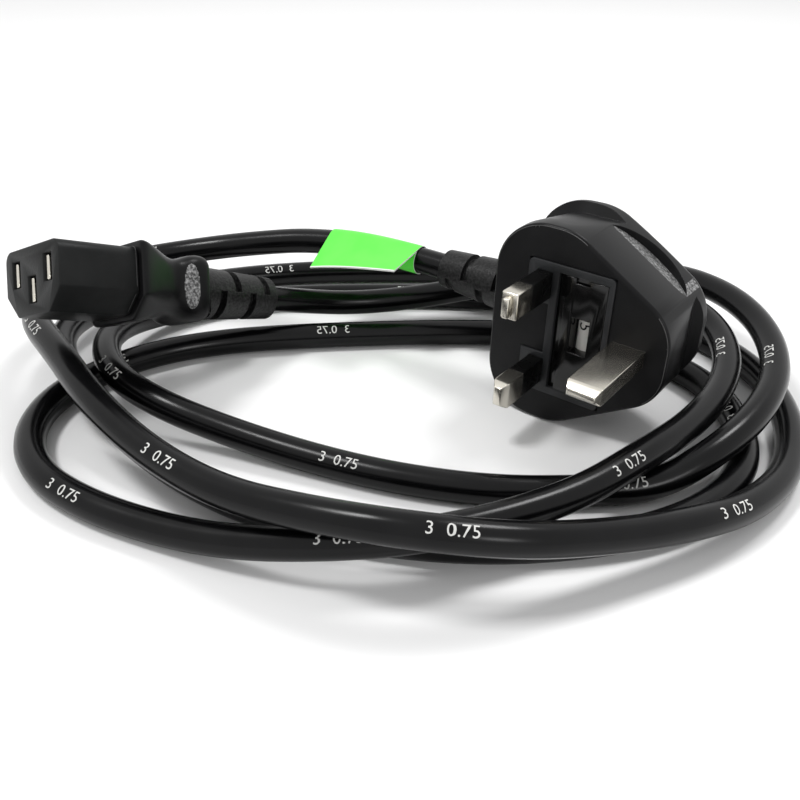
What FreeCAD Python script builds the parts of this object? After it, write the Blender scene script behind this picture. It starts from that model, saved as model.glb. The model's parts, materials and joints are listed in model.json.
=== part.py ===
import FreeCAD, Part
import math
import os
import re

import Sketcher

# A mains lead: a moulded three pin plug, its loosely coiled round cord and an appliance connector.
# The plug stands on its lower side edge, with its pins towards -Y and its earth pin towards +X.
# Every plug piece is drawn from the midpoint between the two small pins on the engagement face.

SIZES = [
    ("half_height", 25.0, "from the plug's middle to its upper or lower side edge"),
    ("side_cable", 13.2, "from the small pins' line to the side where the cord leaves"),
    ("side_earth", 31.6, "from the small pins' line to the earth pin's side"),
    ("slant_start", 6.1, "where the slanted side leaves the upper edge"),
    ("slant_end", 9.3, "where the slanted side meets the earth pin's side"),
    ("corner_cable", 13.0, "corner radius beside the cord"),
    ("corner_slant", 14.0, "corner radius between upper edge and slanted side"),
    ("corner_earth", 12.0, "corner radius beside the earth pin"),
    ("cover_depth", 26.0, "engagement face to the crown of the rear"),
    ("dome_radius", 110.0, "radius of the domed rear"),
    ("dome_centre", 9.2, "middle of the dome from the small pins' line"),
    ("rear_round", 2.6, "rounding of the rear edge"),
    ("front_round", 0.8, "rounding of the engagement face's edge"),
    ("waist_front", 3.5, "where the side wall starts to slope inwards"),
    ("waist_deep", 18.2, "deepest line of the waist, just before the rear flange"),
    ("waist_rear", 19.8, "where the flange's rim begins"),
    ("waist_depth", 2.4, "depth of the waist"),
    ("waist_fade", 12.0, "how far the waist runs on past the small pins' line"),
    ("scoop_start", 13.0, "front edge of the finger scoops"),
    ("scoop_half", 12.2, "half of the scoop's straight edge"),
    ("scoop_rise", 7.4, "how far the scoop's curved edge bulges to the rear"),
    ("scoop_along", 7.2, "scoop's middle along the slanted side"),
    ("scoop_tilt", 15.0, "slope of the scoop's floor"),
    ("scoop_sweep", 10.0, "how far the scoop's cut runs outwards"),
    ("face_wall", 1.6, "wall of the cover over the insert"),
    ("cord_depth", 14.5, "cord's middle line behind the engagement face"),
    ("cord_radius", 3.5, "round sheathed cord"),
    ("relief_inside", 4.0, "how far the relief and the sheath's end reach into the cover"),
    ("relief_length", 22.8, "strain relief from the side wall to its tip"),
    ("relief_root", 6.8, "relief's radius at the wall"),
    ("relief_tip", 5.0, "relief's radius at its tip"),
    ("relief_core", 4.3, "what the slots leave round the cord"),
    ("relief_slot", 2.2, "width of a slot"),
    ("relief_pitch", 4.9, "from one slot to the next"),
    ("relief_first", 3.6, "tip to the middle of the first slot"),
    ("gap", 0.1, "play round what is moulded in"),
    ("over", 1.0, "how far a cut runs past the material"),
    ("raise", 0.4, "insert standing out of the face"),
    ("frame_top", 16.6, "insert's visible frame, upper edge"),
    ("frame_low", 16.8, "insert's visible frame, lower edge"),
    ("frame_side", 17.2, "insert's visible frame, towards the earth pin"),
    ("frame_bar", 1.7, "frame's bar beside the small pins"),
    ("wing_side", 4.2, "frame's wings round the small pins"),
    ("wing_inner", 6.4, "inner edges of the wings"),
    ("frame_round", 1.2, "corner radius of the frame"),
    ("block_cable", 5.2, "hidden insert block, towards the cord"),
    ("block_half", 16.0, "hidden block's half height"),
    ("block_slant", 13.0, "where the block's slanted corner starts"),
    ("block_low", 13.6, "where the block's slanted corner ends"),
    ("block_side", 17.1, "hidden block, towards the earth pin"),
    ("block_depth", 12.0, "rear of the block"),
    ("arm_wall", 1.2, "wall of the arm past the earth pin's shoulder"),
    ("arm_half", 5.0, "half height of that arm"),
    ("plate_thick", 1.2, "insert's rear plate"),
    ("peg_radius", 1.0, "pegs of the rear plate"),
    ("peg_length", 4.0, "length of a peg"),
    ("peg_offset", 2.5, "each peg from the middle"),
    ("window_left", 3.6, "carrier's opening, towards the small pins"),
    ("window_right", 15.9, "carrier's opening, towards the earth pin"),
    ("window_top", 14.8, "carrier's opening, upper edge"),
    ("window_low", 15.0, "carrier's opening, lower edge"),
    ("window_floor", 2.0, "floor that the carrier's panel seats on"),
    ("well_left", 6.0, "fuse chamber, towards the small pins"),
    ("well_right", 14.4, "fuse chamber, towards the earth pin"),
    ("well_half", 14.3, "fuse chamber's half height"),
    ("slide_gap", 0.15, "play round the carrier"),
    ("ledge_side", 5.5, "carrier's lowered ledge ends here"),
    ("ledge_drop", 0.8, "how much lower the ledge is"),
    ("sight_left", 8.0, "fuse window, towards the small pins"),
    ("sight_right", 12.5, "fuse window, towards the earth pin"),
    ("sight_top", 5.0, "fuse window, upper edge"),
    ("sight_low", 4.0, "fuse window, lower edge"),
    ("notch_left", 7.9, "notch for a screwdriver's tip"),
    ("notch_right", 11.4, "notch, other side"),
    ("notch_height", 1.3, "notch's height"),
    ("notch_depth", 1.3, "notch's depth"),
    ("cradle_half", 6.2, "half length of the fuse's cradle"),
    ("cradle_depth", 7.0, "rear of the cradle"),
    ("saddle_thick", 0.9, "carrier's end stops"),
    ("saddle_half", 3.0, "half width of an end stop"),
    ("fuse_side", 10.2, "fuse's axis from the small pins' line"),
    ("fuse_depth", 5.4, "fuse's axis behind the face"),
    ("fuse_half", 12.7, "half of the fuse's length"),
    ("tube_radius", 2.9, "ceramic tube, outside"),
    ("tube_bore", 2.0, "ceramic tube, bore radius"),
    ("cap_radius", 3.15, "end cap, outside"),
    ("cap_length", 5.8, "length of an end cap"),
    ("cap_wall", 0.3, "end wall of a cap"),
    ("cap_play", 0.05, "joint between cap and tube"),
    ("element_radius", 0.15, "fuse element"),
    ("pin_pitch", 22.2, "line to neutral, and their line to the earth pin"),
    ("pin_thick", 4.0, "thickness of every pin"),
    ("pin_wide", 6.35, "width of the small pins"),
    ("pin_length", 17.7, "small pins from the face"),
    ("sleeve_length", 9.3, "sleeved part of the small pins"),
    ("core_thick", 2.6, "pin's shank inside its sleeve"),
    ("core_wide", 5.0, "width of that shank"),
    ("earth_wide", 8.0, "width of the earth pin"),
    ("earth_length", 22.7, "earth pin from the face"),
    ("tip_length", 1.8, "length of the tips' slopes"),
    ("tip_thin", 1.25, "slope on each flat of a tip"),
    ("tip_narrow", 0.8, "slope on each edge of a tip"),
    ("seat_depth", 4.5, "where the pins' shoulders seat in the insert"),
    ("shoulder_thick", 1.5, "thickness of a shoulder"),
    ("shoulder_out", 0.8, "how far a shoulder stands out round its pin"),
    ("tail_half", 0.6, "half thickness of a pin's tail"),
    ("tail_wide", 4.2, "width of a pin's tail"),
    ("barrel_radius", 1.25, "crimp barrel, outside"),
    ("barrel_bore", 0.6, "crimp barrel, bore radius"),
    ("barrel_length", 4.2, "length of a crimp barrel"),
    ("clip_metal", 0.6, "thickness of the spring clips"),
    ("clip_half", 2.6, "half width of the spring clips"),
    ("clip_front", 3.0, "front ends of the clips' arms"),
    ("clip_rear", 9.6, "rear of the clips"),
    ("clip_height", 9.9, "clips' middle above and below the plug's middle"),
    ("rivet_radius", 0.8, "rivet that joins the line pin to its clip"),
    ("rivet_head", 1.4, "radius of the rivet's head"),
    ("rivet_rise", 0.5, "height of the rivet's head"),
    ("wire_radius", 1.2, "insulated wire"),
    ("strand_radius", 0.55, "its bared copper"),
    ("nose_half", 12.0, "connector's nose, half width"),
    ("nose_top", 7.6, "connector's nose, half height"),
    ("nose_cut", 5.0, "slanted lower corners of the nose"),
    ("nose_round", 2.6, "upper corners of the nose"),
    ("nose_length", 19.0, "nose up to the grip's shoulder"),
    ("stub_half", 9.3, "insert's hidden rear, half width"),
    ("stub_top", 4.4, "insert's hidden rear, half height"),
    ("stub_end", 24.5, "insert's rear end"),
    ("slot_side", 7.0, "line and neutral slots from the middle"),
    ("slot_rise", 2.0, "those slots above, the earth slot below the middle"),
    ("slot_wide", 3.4, "width of a slot"),
    ("slot_tall", 6.0, "height of a slot"),
    ("slot_depth", 17.0, "depth of a slot"),
    ("contact_metal", 0.6, "contact's metal"),
    ("contact_start", 0.9, "contact's leaf behind the face"),
    ("contact_short", 6.0, "contact's second leaf behind the face"),
    ("grip_step", 1.3, "grip's shoulder standing out round the nose"),
    ("grip_even", 1.5, "length of the shoulder before the grip narrows"),
    ("flare_half", 11.0, "half way down the flare, half width"),
    ("flare_top", 7.9, "half way down the flare, half height"),
    ("flare_cut", 4.4, "slanted lower corners there"),
    ("neck_half", 7.8, "grip's neck, half width"),
    ("neck_top", 6.5, "grip's neck, half height"),
    ("neck_cut", 3.2, "slanted lower corners of the neck"),
    ("neck_place", 31.5, "neck behind the connector's face"),
    ("collar_half", 9.6, "collar, half width"),
    ("collar_top", 8.2, "collar, half height"),
    ("collar_round", 3.4, "collar's corner radius"),
    ("collar_edge", 1.2, "collar's rounded edges"),
    ("collar_start", 33.5, "collar's front"),
    ("collar_end", 41.0, "collar's rear"),
    ("tail_end", 65.0, "tip of the connector's strain relief"),
    ("tail_inside", 3.0, "connector relief's root inside the collar"),
    ("tail_root", 6.9, "connector relief's radius at the collar"),
    ("tail_tip", 5.6, "connector relief's radius at its tip"),
    ("join_depth", 44.0, "where the connector's wires leave the cord's sheath"),
    ("label_length", 28.6, "length of the flag label along the cord"),
    ("label_reach", 12.6, "cord's middle to the label's free edge"),
    ("label_thick", 0.3, "folded label's thickness"),
    ("label_play", 1.0, "label's loop round the cord"),
    ("label_lean", 28.0, "how far the flag hangs below level"),
    ("yaw", 0.7, "connector's turn about the vertical"),
    ("pitch", -23.9, "connector's lean to one side"),
    ("roll", -23.05, "connector's nose tipped upwards"),
]

# The cord's middle line from the plug to the connector, above the floor it lies on.
# It makes four loose turns; the points are chosen by hand, and strands pass over one another in long low humps.
CORD_POINTS = [
    # Out of the plug's relief, to the left and round to the front.
    (-33.8, 12.85, 25.0), (-55.8, 12.85, 24.9), (-77.8, 8.2, 23.3), (-92.8, 1.2, 20.6),
    (-106.3, -5.8, 17.6), (-118.8, -19.0, 15.5), (-123.6, -36.6, 15.5), (-118.3, -54.6, 17.0),
    (-103.3, -67.6, 18.5), (-83.8, -73.6, 18.5), (-62.8, -80.6, 17.0), (-41.8, -83.6, 14.5),
    (-20.8, -83.6, 14.0), (-0.8, -80.6, 17.0), (18.2, -74.6, 19.0), (33.2, -62.6, 16.5),
    (43.2, -46.6, 12.0), (53.4, -29.6, 9.0), (60.2, -11.6, 5.8), (62.2, 9.4, 3.6),
    # Behind the plug on the floor, outermost.
    (56.2, 30.4, 3.5), (44.2, 48.4, 3.5), (27.2, 59.4, 3.5), (6.2, 62.4, 3.5),
    (-14.8, 57.4, 3.5), (-34.8, 46.4, 3.5), (-54.8, 33.4, 3.5), (-72.8, 18.4, 3.5),
    (-88.8, 3.4, 3.5), (-99.8, -12.6, 4.0), (-103.6, -28.4, 5.5),
    # Second turn, in front and up behind the plug.
    (-100.8, -43.6, 8.6), (-91.8, -56.4, 11.3), (-77.8, -64.4, 11.1), (-61.8, -64.8, 9.2),
    (-43.8, -58.6, 5.2), (-22.8, -52.6, 3.5), (-3.8, -46.6, 3.5), (14.2, -37.6, 3.5),
    (29.2, -25.6, 3.5), (41.2, -15.1, 4.2), (48.8, -1.6, 9.8), (51.7, 16.4, 12.6),
    (49.2, 35.4, 14.0), (40.2, 52.4, 15.5), (26.2, 65.4, 16.0), (8.2, 74.4, 14.0),
    (-13.8, 76.4, 9.0), (-36.8, 68.4, 4.5), (-58.8, 53.4, 3.5), (-78.8, 37.4, 3.5),
    (-97.8, 19.4, 3.5), (-111.8, -0.6, 3.6), (-117.8, -22.6, 5.0), (-115.8, -43.6, 8.0),
    # Third turn.
    (-104.8, -60.6, 10.9), (-86.8, -70.6, 11.2), (-66.8, -75.6, 9.0), (-47.8, -76.6, 5.0),
    (-28.8, -75.6, 3.5), (-10.8, -71.6, 3.5), (6.2, -64.6, 3.5), (22.2, -54.6, 3.5),
    (35.2, -42.6, 3.5), (45.8, -29.6, 3.5), (53.2, -12.6, 3.5), (53.5, 6.4, 3.5),
    (46.2, 22.4, 3.5), (35.2, 34.4, 3.5), (20.2, 40.4, 3.5), (3.2, 39.4, 3.5),
    (-13.8, 33.4, 3.5), (-29.8, 22.4, 3.5), (-46.8, 7.4, 3.5), (-63.8, -8.6, 3.5),
    (-78.8, -24.6, 3.5), (-88.8, -40.6, 3.5),
    # Fourth turn, round in front and between the plug and the outer strands.
    (-92.8, -57.6, 3.5), (-90.8, -73.6, 3.5), (-82.1, -86.6, 3.5), (-67.8, -94.2, 3.5),
    (-50.8, -94.6, 3.5), (-32.8, -90.6, 3.5), (-15.8, -85.6, 5.5), (1.2, -78.6, 9.6),
    (15.2, -67.6, 11.3), (25.2, -52.6, 11.3), (33.2, -35.6, 11.4), (37.7, -17.1, 12.2),
    (40.7, 2.4, 11.2), (40.7, 21.4, 11.5), (36.2, 38.4, 12.5), (26.2, 52.4, 13.0),
    (11.2, 60.4, 13.0), (-6.8, 60.4, 12.0), (-23.8, 51.4, 11.2), (-36.8, 37.4, 10.5),
    # Under the label's strand and into the connector's relief.
    (-49.8, 23.4, 8.0), (-62.3, 10.4, 7.0), (-70.7, -2.5, 9.6), (-73.1, -17.3, 15.3),
]
SMALLEST_BEND = 28.0
ARC_SHARE = 0.45

# Both strain reliefs have four slots, each a little under half way round.
SLOT_COUNT = 4
SLOT_TURN = 176

# Three insulated cores lie in a triangle; their middles stand this many wire radii from the cord's.
LAY_REACH = 1.21
LAY_SIDE = math.cos(math.radians(30))
LAY_RISE = math.sin(math.radians(30))

# How near an edge has to be to the place that a test names.
NEAR = 0.02

doc = FreeCAD.newDocument("mains_lead")
sheet = doc.addObject("Spreadsheet::Sheet", "Sizes")
for line, (alias, number, note) in enumerate(SIZES, 1):
    sheet.set(f"A{line}", note)
    sheet.set(f"B{line}", str(number))
    sheet.setAlias(f"B{line}", alias)
doc.recompute()
ALIASES = {alias for alias, number, note in SIZES}
pieces = []


def value(text):
    """The number that a formula of sheet names gives."""
    return float(sheet.evalExpression(text))


def linked(text):
    """The same formula as another object has to write it."""
    return re.sub(r"[a-z_]+", lambda word: "Sizes." + word[0] if word[0] in ALIASES else word[0], text)


def bind(item, name, text):
    item.setExpression(name, linked(text))


# Places

PLUG_SEAT = (
    "(side_cable + relief_length - side_earth) / 2",
    "(earth_length - cover_depth) / 2",
    "half_height",
)


def seat_plug(item):
    """Puts a plug piece where the plug stands."""
    for axis, text in zip("xyz", PLUG_SEAT):
        bind(item, "Placement.Base." + axis, text)


def connector_place():
    """The connector's relief tip is at the cord's last point."""
    turn = FreeCAD.Rotation(value("yaw"), value("pitch"), value("roll"))
    tip = FreeCAD.Vector(*CORD_POINTS[-1])
    back = turn.multVec(FreeCAD.Vector(0, value("tail_end"), 0))
    return FreeCAD.Placement(tip - back, turn)


def seat_connector(item):
    item.Placement = connector_place()


def keep(item, name, seat):
    """Names a finished sub-part and puts it in place."""
    item.Label = name
    seat(item)
    pieces.append(item)


# Sketches and features


def new_body(name):
    return doc.addObject("PartDesign::Body", name)


def new_sketch(body, name, plane, shift="0"):
    """A sketch on one of the body's planes, moved along that plane's normal."""
    sketch = body.newObject("Sketcher::SketchObject", name)
    support = next(f for f in body.Origin.OriginFeatures if f.Role == plane)
    sketch.AttachmentSupport = [(support, "")]
    sketch.MapMode = "FlatFace"
    if shift != "0":
        bind(sketch, "AttachmentOffset.Base.z", shift)
    return sketch


def fix_point(sketch, geometry, end, across, up):
    """Holds one point of a sketch at two formulas."""
    for kind, text in (("DistanceX", across), ("DistanceY", up)):
        index = sketch.addConstraint(Sketcher.Constraint(kind, -1, 1, geometry, end, value(text)))
        sketch.setExpression(f"Constraints[{index}]", linked(text))


def outline(body, name, plane, corners, shift="0"):
    """A closed straight-sided outline, each corner at two formulas."""
    sketch = new_sketch(body, name, plane, shift)
    spots = [FreeCAD.Vector(value(a), value(b), 0) for a, b in corners]
    count = len(spots)
    for index in range(count):
        sketch.addGeometry(Part.LineSegment(spots[index], spots[(index + 1) % count]), False)
    for index in range(count):
        sketch.addConstraint(Sketcher.Constraint("Coincident", index, 2, (index + 1) % count, 1))
        fix_point(sketch, index, 1, *corners[index])
    return sketch


def box_corners(left, low, right, top):
    return [(left, low), (right, low), (right, top), (left, top)]


def centred(side, height, across, up):
    """Corners of a rectangle about a point, from its half width and half height."""
    return box_corners(
        f"{side} - ({across})", f"{height} - ({up})", f"{side} + ({across})", f"{height} + ({up})"
    )


def round_outline(body, name, plane, across, up, radius, shift="0"):
    """A circle at two formulas."""
    sketch = new_sketch(body, name, plane, shift)
    centre = FreeCAD.Vector(value(across), value(up), 0)
    sketch.addGeometry(Part.Circle(centre, FreeCAD.Vector(0, 0, 1), value(radius)), False)
    fix_point(sketch, 0, 3, across, up)
    index = sketch.addConstraint(Sketcher.Constraint("Radius", 0, value(radius)))
    sketch.setExpression(f"Constraints[{index}]", linked(radius))
    return sketch


def finished(feature):
    """Recomputes and stops at a feature that failed."""
    doc.recompute()
    if not feature.isValid() or feature.Shape.isNull():
        raise ValueError(feature.Name + " failed")
    return feature


def pad(body, name, sketch, length, back=False, both=False):
    feature = body.newObject("PartDesign::Pad", name)
    feature.Profile = sketch
    feature.Reversed = back
    feature.Midplane = both
    bind(feature, "Length", length)
    return finished(feature)


def pocket(body, name, sketch, length, back=False, both=False):
    """Cuts along the sketch's normal when back is set, else against it."""
    before = body.Shape.Volume
    feature = body.newObject("PartDesign::Pocket", name)
    feature.Profile = sketch
    feature.Reversed = back
    feature.Midplane = both
    bind(feature, "Length", length)
    finished(feature)
    if body.Shape.Volume >= before:
        raise ValueError(name + " cuts nothing")
    return feature


def turned(body, kind, name, sketch, axis, angle, back=False):
    """A revolution or groove about one of the sketch's own axes."""
    feature = body.newObject(kind, name)
    feature.Profile = sketch
    feature.ReferenceAxis = (sketch, [axis])
    feature.Angle = angle
    feature.Reversed = back
    return finished(feature)


def soften(body, name, radius, picked):
    """Fillets the edges of the body's last feature that the test picks."""
    base = body.Tip
    names = [f"Edge{i}" for i, edge in enumerate(base.Shape.Edges, 1) if picked(edge)]
    if not names:
        raise ValueError(name + " finds no edge")
    feature = body.newObject("PartDesign::Fillet", name)
    feature.Base = (base, names)
    bind(feature, "Radius", radius)
    return finished(feature)


def along_depth(edge, side, height):
    """True for a straight edge along Y at a given place."""
    box = edge.BoundBox
    if box.XLength + box.ZLength > NEAR or box.YLength < NEAR:
        return False
    return math.hypot(box.XMin - side, abs(box.ZMin) - abs(height)) < NEAR


def flat_at(edge, depth):
    """True for an edge that lies wholly at one depth."""
    return max(abs(edge.BoundBox.YMin - depth), abs(edge.BoundBox.YMax - depth)) < NEAR


# Paths of straight runs joined by tangent arcs


def rounded_path(points):
    """Returns the path's edges and the radii of its arcs."""
    spots = [FreeCAD.Vector(*p) for p in points]
    edges, radii, start = [], [], spots[0]
    for before, here, after in zip(spots, spots[1:], spots[2:]):
        first, second = here - before, after - here
        cut = ARC_SHARE * min(first.Length, second.Length)
        entry = here - first.normalize() * cut
        leave = here + second.normalize() * cut
        half_turn = first.getAngle(second) / 2
        radius = cut / math.tan(half_turn)
        bisector = (second - first).normalize()
        middle = here + bisector * (radius / math.cos(half_turn) - radius)
        edges.append(Part.LineSegment(start, entry).toShape())
        edges.append(Part.Arc(entry, middle, leave).toShape())
        radii.append(radius)
        start = leave
    edges.append(Part.LineSegment(start, spots[-1]).toShape())
    return edges, radii


def tube(points, radius):
    """A round rod along the rounded path, with its length and radii."""
    edges, radii = rounded_path(points)
    path = Part.Wire(edges)
    start = FreeCAD.Vector(*points[0])
    heading = (FreeCAD.Vector(*points[1]) - start).normalize()
    disc = Part.Face(Part.Wire([Part.Edge(Part.Circle(start, heading, radius))]))
    return path.makePipe(disc), path.Length, radii


# Plug cover


def slant_line():
    """The slanted side's angle and a point on it."""
    fall = value("half_height - slant_end")
    run = value("side_earth - slant_start")
    return math.degrees(math.atan2(fall, run))


def scoop_sketch(body):
    """The finger scoop's floor: a straight front edge and a curved rear edge on the slanted side."""
    angle = slant_line()
    along = FreeCAD.Vector(math.cos(math.radians(angle)), 0, -math.sin(math.radians(angle)))
    corner = FreeCAD.Vector(value("slant_start"), 0, value("half_height"))
    # The scoop's middle is measured from the point of the side nearest to the small pins' line.
    foot = corner - along * corner.dot(along)
    middle = foot + along * value("scoop_along") + FreeCAD.Vector(0, value("scoop_start"), 0)
    lean = FreeCAD.Rotation(FreeCAD.Vector(0, 1, 0), angle)
    tilt = FreeCAD.Rotation(FreeCAD.Vector(1, 0, 0), -value("scoop_tilt"))
    sketch = new_sketch(body, "scoop", "XY_Plane")
    sketch.AttachmentOffset = FreeCAD.Placement(middle, lean * tilt)
    half, rise = value("scoop_half"), value("scoop_rise")
    left, right = FreeCAD.Vector(-half, 0, 0), FreeCAD.Vector(half, 0, 0)
    top = FreeCAD.Vector(0, rise, 0)
    sketch.addGeometry(Part.LineSegment(left, right), False)
    sketch.addGeometry(Part.Arc(right, top, left), False)
    return sketch


def cover_outside():
    body = new_body("cover_moulding")
    face = [
        ("-side_cable", "half_height"), ("slant_start", "half_height"), ("side_earth", "slant_end"),
        ("side_earth", "-slant_end"), ("slant_start", "-half_height"), ("-side_cable", "-half_height"),
    ]
    rim = outline(body, "face_outline", "XZ_Plane", face)
    pad(body, "cover_depth_pad", rim, "cover_depth", back=True)
    for name, side, height in (
        ("corner_cable", "-side_cable", "half_height"),
        ("corner_slant", "slant_start", "half_height"),
        ("corner_earth", "side_earth", "slant_end"),
    ):
        side_at, height_at = value(side), value(height)
        soften(body, name + "_fillet", name, lambda e: along_depth(e, side_at, height_at))

    # Domed rear: everything outside a large ball is turned away.
    dome = new_sketch(body, "dome", "XY_Plane")
    bind(dome, "AttachmentOffset.Base.x", "dome_centre")
    depth, radius, wide = value("cover_depth"), value("dome_radius"), value("side_earth + half_height")
    drop = radius - math.sqrt(radius**2 - wide**2)
    crown, edge = FreeCAD.Vector(0, depth, 0), FreeCAD.Vector(wide, depth - drop, 0)
    half_way = wide / 2
    middle = FreeCAD.Vector(half_way, depth - radius + math.sqrt(radius**2 - half_way**2), 0)
    far = FreeCAD.Vector(wide, depth + drop, 0)
    top = FreeCAD.Vector(0, depth + drop, 0)
    dome.addGeometry(Part.Arc(crown, middle, edge), False)
    for a, b in ((edge, far), (far, top), (top, crown)):
        dome.addGeometry(Part.LineSegment(a, b), False)
    turned(body, "PartDesign::Groove", "dome_groove", dome, "V_Axis", 360)
    behind_waist = value("waist_rear")
    soften(
        body, "rear_fillet", "rear_round",
        lambda e: e.BoundBox.YMin > depth - drop - NEAR and e.BoundBox.YMax > behind_waist - NEAR,
    )

    # Waist: a sloping wall and a steep step up to the rear flange, all round the cord's side.
    path = new_sketch(body, "waist_path", "XZ_Plane")
    high, side, corner = value("half_height"), value("side_cable"), value("corner_cable")
    fade = value("waist_fade")
    bend = corner * math.sin(math.radians(45))
    for sign in (1, -1):
        start = FreeCAD.Vector(fade, sign * high, 0)
        turn_in = FreeCAD.Vector(corner - side, sign * high, 0)
        turn_mid = FreeCAD.Vector(corner - side - bend, sign * (high - corner + bend), 0)
        turn_out = FreeCAD.Vector(-side, sign * (high - corner), 0)
        path.addGeometry(Part.LineSegment(start, turn_in), False)
        path.addGeometry(Part.Arc(turn_in, turn_mid, turn_out), False)
    upper, lower = FreeCAD.Vector(-side, high - corner, 0), FreeCAD.Vector(-side, corner - high, 0)
    path.addGeometry(Part.LineSegment(upper, lower), False)
    section = outline(
        body, "waist_section", "YZ_Plane",
        [
            ("waist_front", "half_height + over"), ("waist_front", "half_height"),
            ("waist_deep", "half_height - waist_depth"), ("waist_rear", "half_height"),
            ("waist_rear", "half_height + over"),
        ],
        "waist_fade",
    )
    doc.recompute()
    waist = body.newObject("PartDesign::SubtractivePipe", "waist")
    waist.Profile = section
    waist.Spine = path
    finished(waist)
    earth_waist = outline(
        body, "earth_waist", "XY_Plane",
        [
            ("side_earth + over", "waist_front"), ("side_earth", "waist_front"),
            ("side_earth - waist_depth", "waist_deep"), ("side_earth", "waist_rear"),
            ("side_earth + over", "waist_rear"),
        ],
    )
    pocket(body, "earth_waist_cut", earth_waist, "2 * half_height", both=True)

    # Finger scoops on both slanted sides.
    scoop = pocket(body, "scoop_cut", scoop_sketch(body), "scoop_sweep", back=True)
    mirror = body.newObject("PartDesign::Mirrored", "scoop_mirror")
    mirror.Originals = [scoop]
    plane = next(f for f in body.Origin.OriginFeatures if f.Role == "XY_Plane")
    mirror.MirrorPlane = (plane, [""])
    body.Tip = mirror
    finished(mirror)

    soften(body, "front_fillet", "front_round", lambda e: flat_at(e, 0))
    return body


def cover_relief(body):
    """The tapered strain relief, one piece with the cover, with its slots."""
    inside = "-(side_cable - relief_inside)"
    tip = "-(side_cable + relief_length)"
    outer = "relief_root + 2 * over"
    sketch = outline(
        body, "relief", "XY_Plane",
        [
            (inside, "0"), (inside, "relief_root"), ("-side_cable", "relief_root"),
            (tip, "relief_tip"), (tip, "0"),
        ],
    )
    bind(sketch, "AttachmentOffset.Base.y", "cord_depth")
    turned(body, "PartDesign::Revolution", "relief_cone", sketch, "H_Axis", 360)
    for index in range(SLOT_COUNT):
        place = f"{tip} + relief_first + {index} * relief_pitch"
        near, far = f"{place} - relief_slot / 2", f"{place} + relief_slot / 2"
        sketch = outline(body, f"slot{index}", "XY_Plane", box_corners(near, "relief_core", far, outer))
        bind(sketch, "AttachmentOffset.Base.y", "cord_depth")
        kind, back = "PartDesign::Groove", index % 2 == 0
        turned(body, kind, f"slot_cut{index}", sketch, "H_Axis", SLOT_TURN, back=back)


def block_outline(grow):
    """Outline of the hidden insert block, with a slanted corner towards each slanted side."""
    high, low = f"(block_half + {grow})", f"(block_low + {grow})"
    left, slant = f"-(block_cable + {grow})", f"(block_slant + {grow})"
    side, arm = f"(block_side + {grow})", f"(arm_half + {grow})"
    end = f"(pin_pitch + earth_wide / 2 + shoulder_out + arm_wall + {grow})"
    upper = [(end, arm), (side, arm), (side, low), (slant, high), (left, high)]
    lower = [(a, "-" + b) for a, b in reversed(upper)]
    return lower + upper


def frame_outline(grow):
    """Outline of the insert's visible frame with its wings round the small pins."""
    top, low = f"(frame_top + {grow})", f"-(frame_low + {grow})"
    side, wing = f"(frame_side + {grow})", f"-(wing_side + {grow})"
    inner, bar = f"(wing_inner - {grow})", f"(frame_bar - {grow})"
    return [
        (wing, low), (side, low), (side, top), (wing, top),
        (wing, inner), (bar, inner), (bar, "-" + inner), (wing, "-" + inner),
    ]


def earth_blade():
    """Corners of the earth pin's section."""
    near, far = "pin_pitch - earth_wide / 2", "pin_pitch + earth_wide / 2"
    return box_corners(near, "-pin_thick / 2", far, "pin_thick / 2")


def plug_cover(channels):
    body = cover_outside()
    cover_relief(body)
    hollow = outline(body, "block_hollow", "XZ_Plane", block_outline("gap"), "-face_wall")
    pocket(body, "block_hollow_cut", hollow, "block_depth + plate_thick + gap - face_wall")
    opening = outline(body, "frame_hollow", "XZ_Plane", frame_outline("gap"), "over")
    pocket(body, "frame_hollow_cut", opening, "window_floor + over")
    blade = outline(body, "earth_hole", "XZ_Plane", earth_blade(), "over")
    pocket(body, "earth_hole_cut", blade, "face_wall + 2 * over")
    thin, wide = "(barrel_radius + gap)", "(tail_wide / 2 + 3 * gap)"
    rooms = (
        ("neutral", "0", "-pin_pitch / 2", thin, wide), ("load", "fuse_side", "-clip_height", thin, wide),
        ("earth", "pin_pitch", "0", wide, thin),
    )
    for name, side, height, across, up in rooms:
        corners = centred(side, height, across, up)
        room = outline(body, name + "_room", "XZ_Plane", corners, "-block_depth")
        pocket(body, name + "_room_cut", room, "cord_depth + barrel_radius + gap - block_depth")
    tools = doc.addObject("Part::Feature", "wire_channels")
    tools.Shape = channels
    cover = doc.addObject("Part::Cut", "plug_cover_cut")
    cover.Base = body
    cover.Tool = tools
    keep(cover, "plug_cover", seat_plug)


# Plug insert and its rear plate


def pin_places():
    return (("line", "pin_pitch / 2"), ("neutral", "-pin_pitch / 2"))


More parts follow.
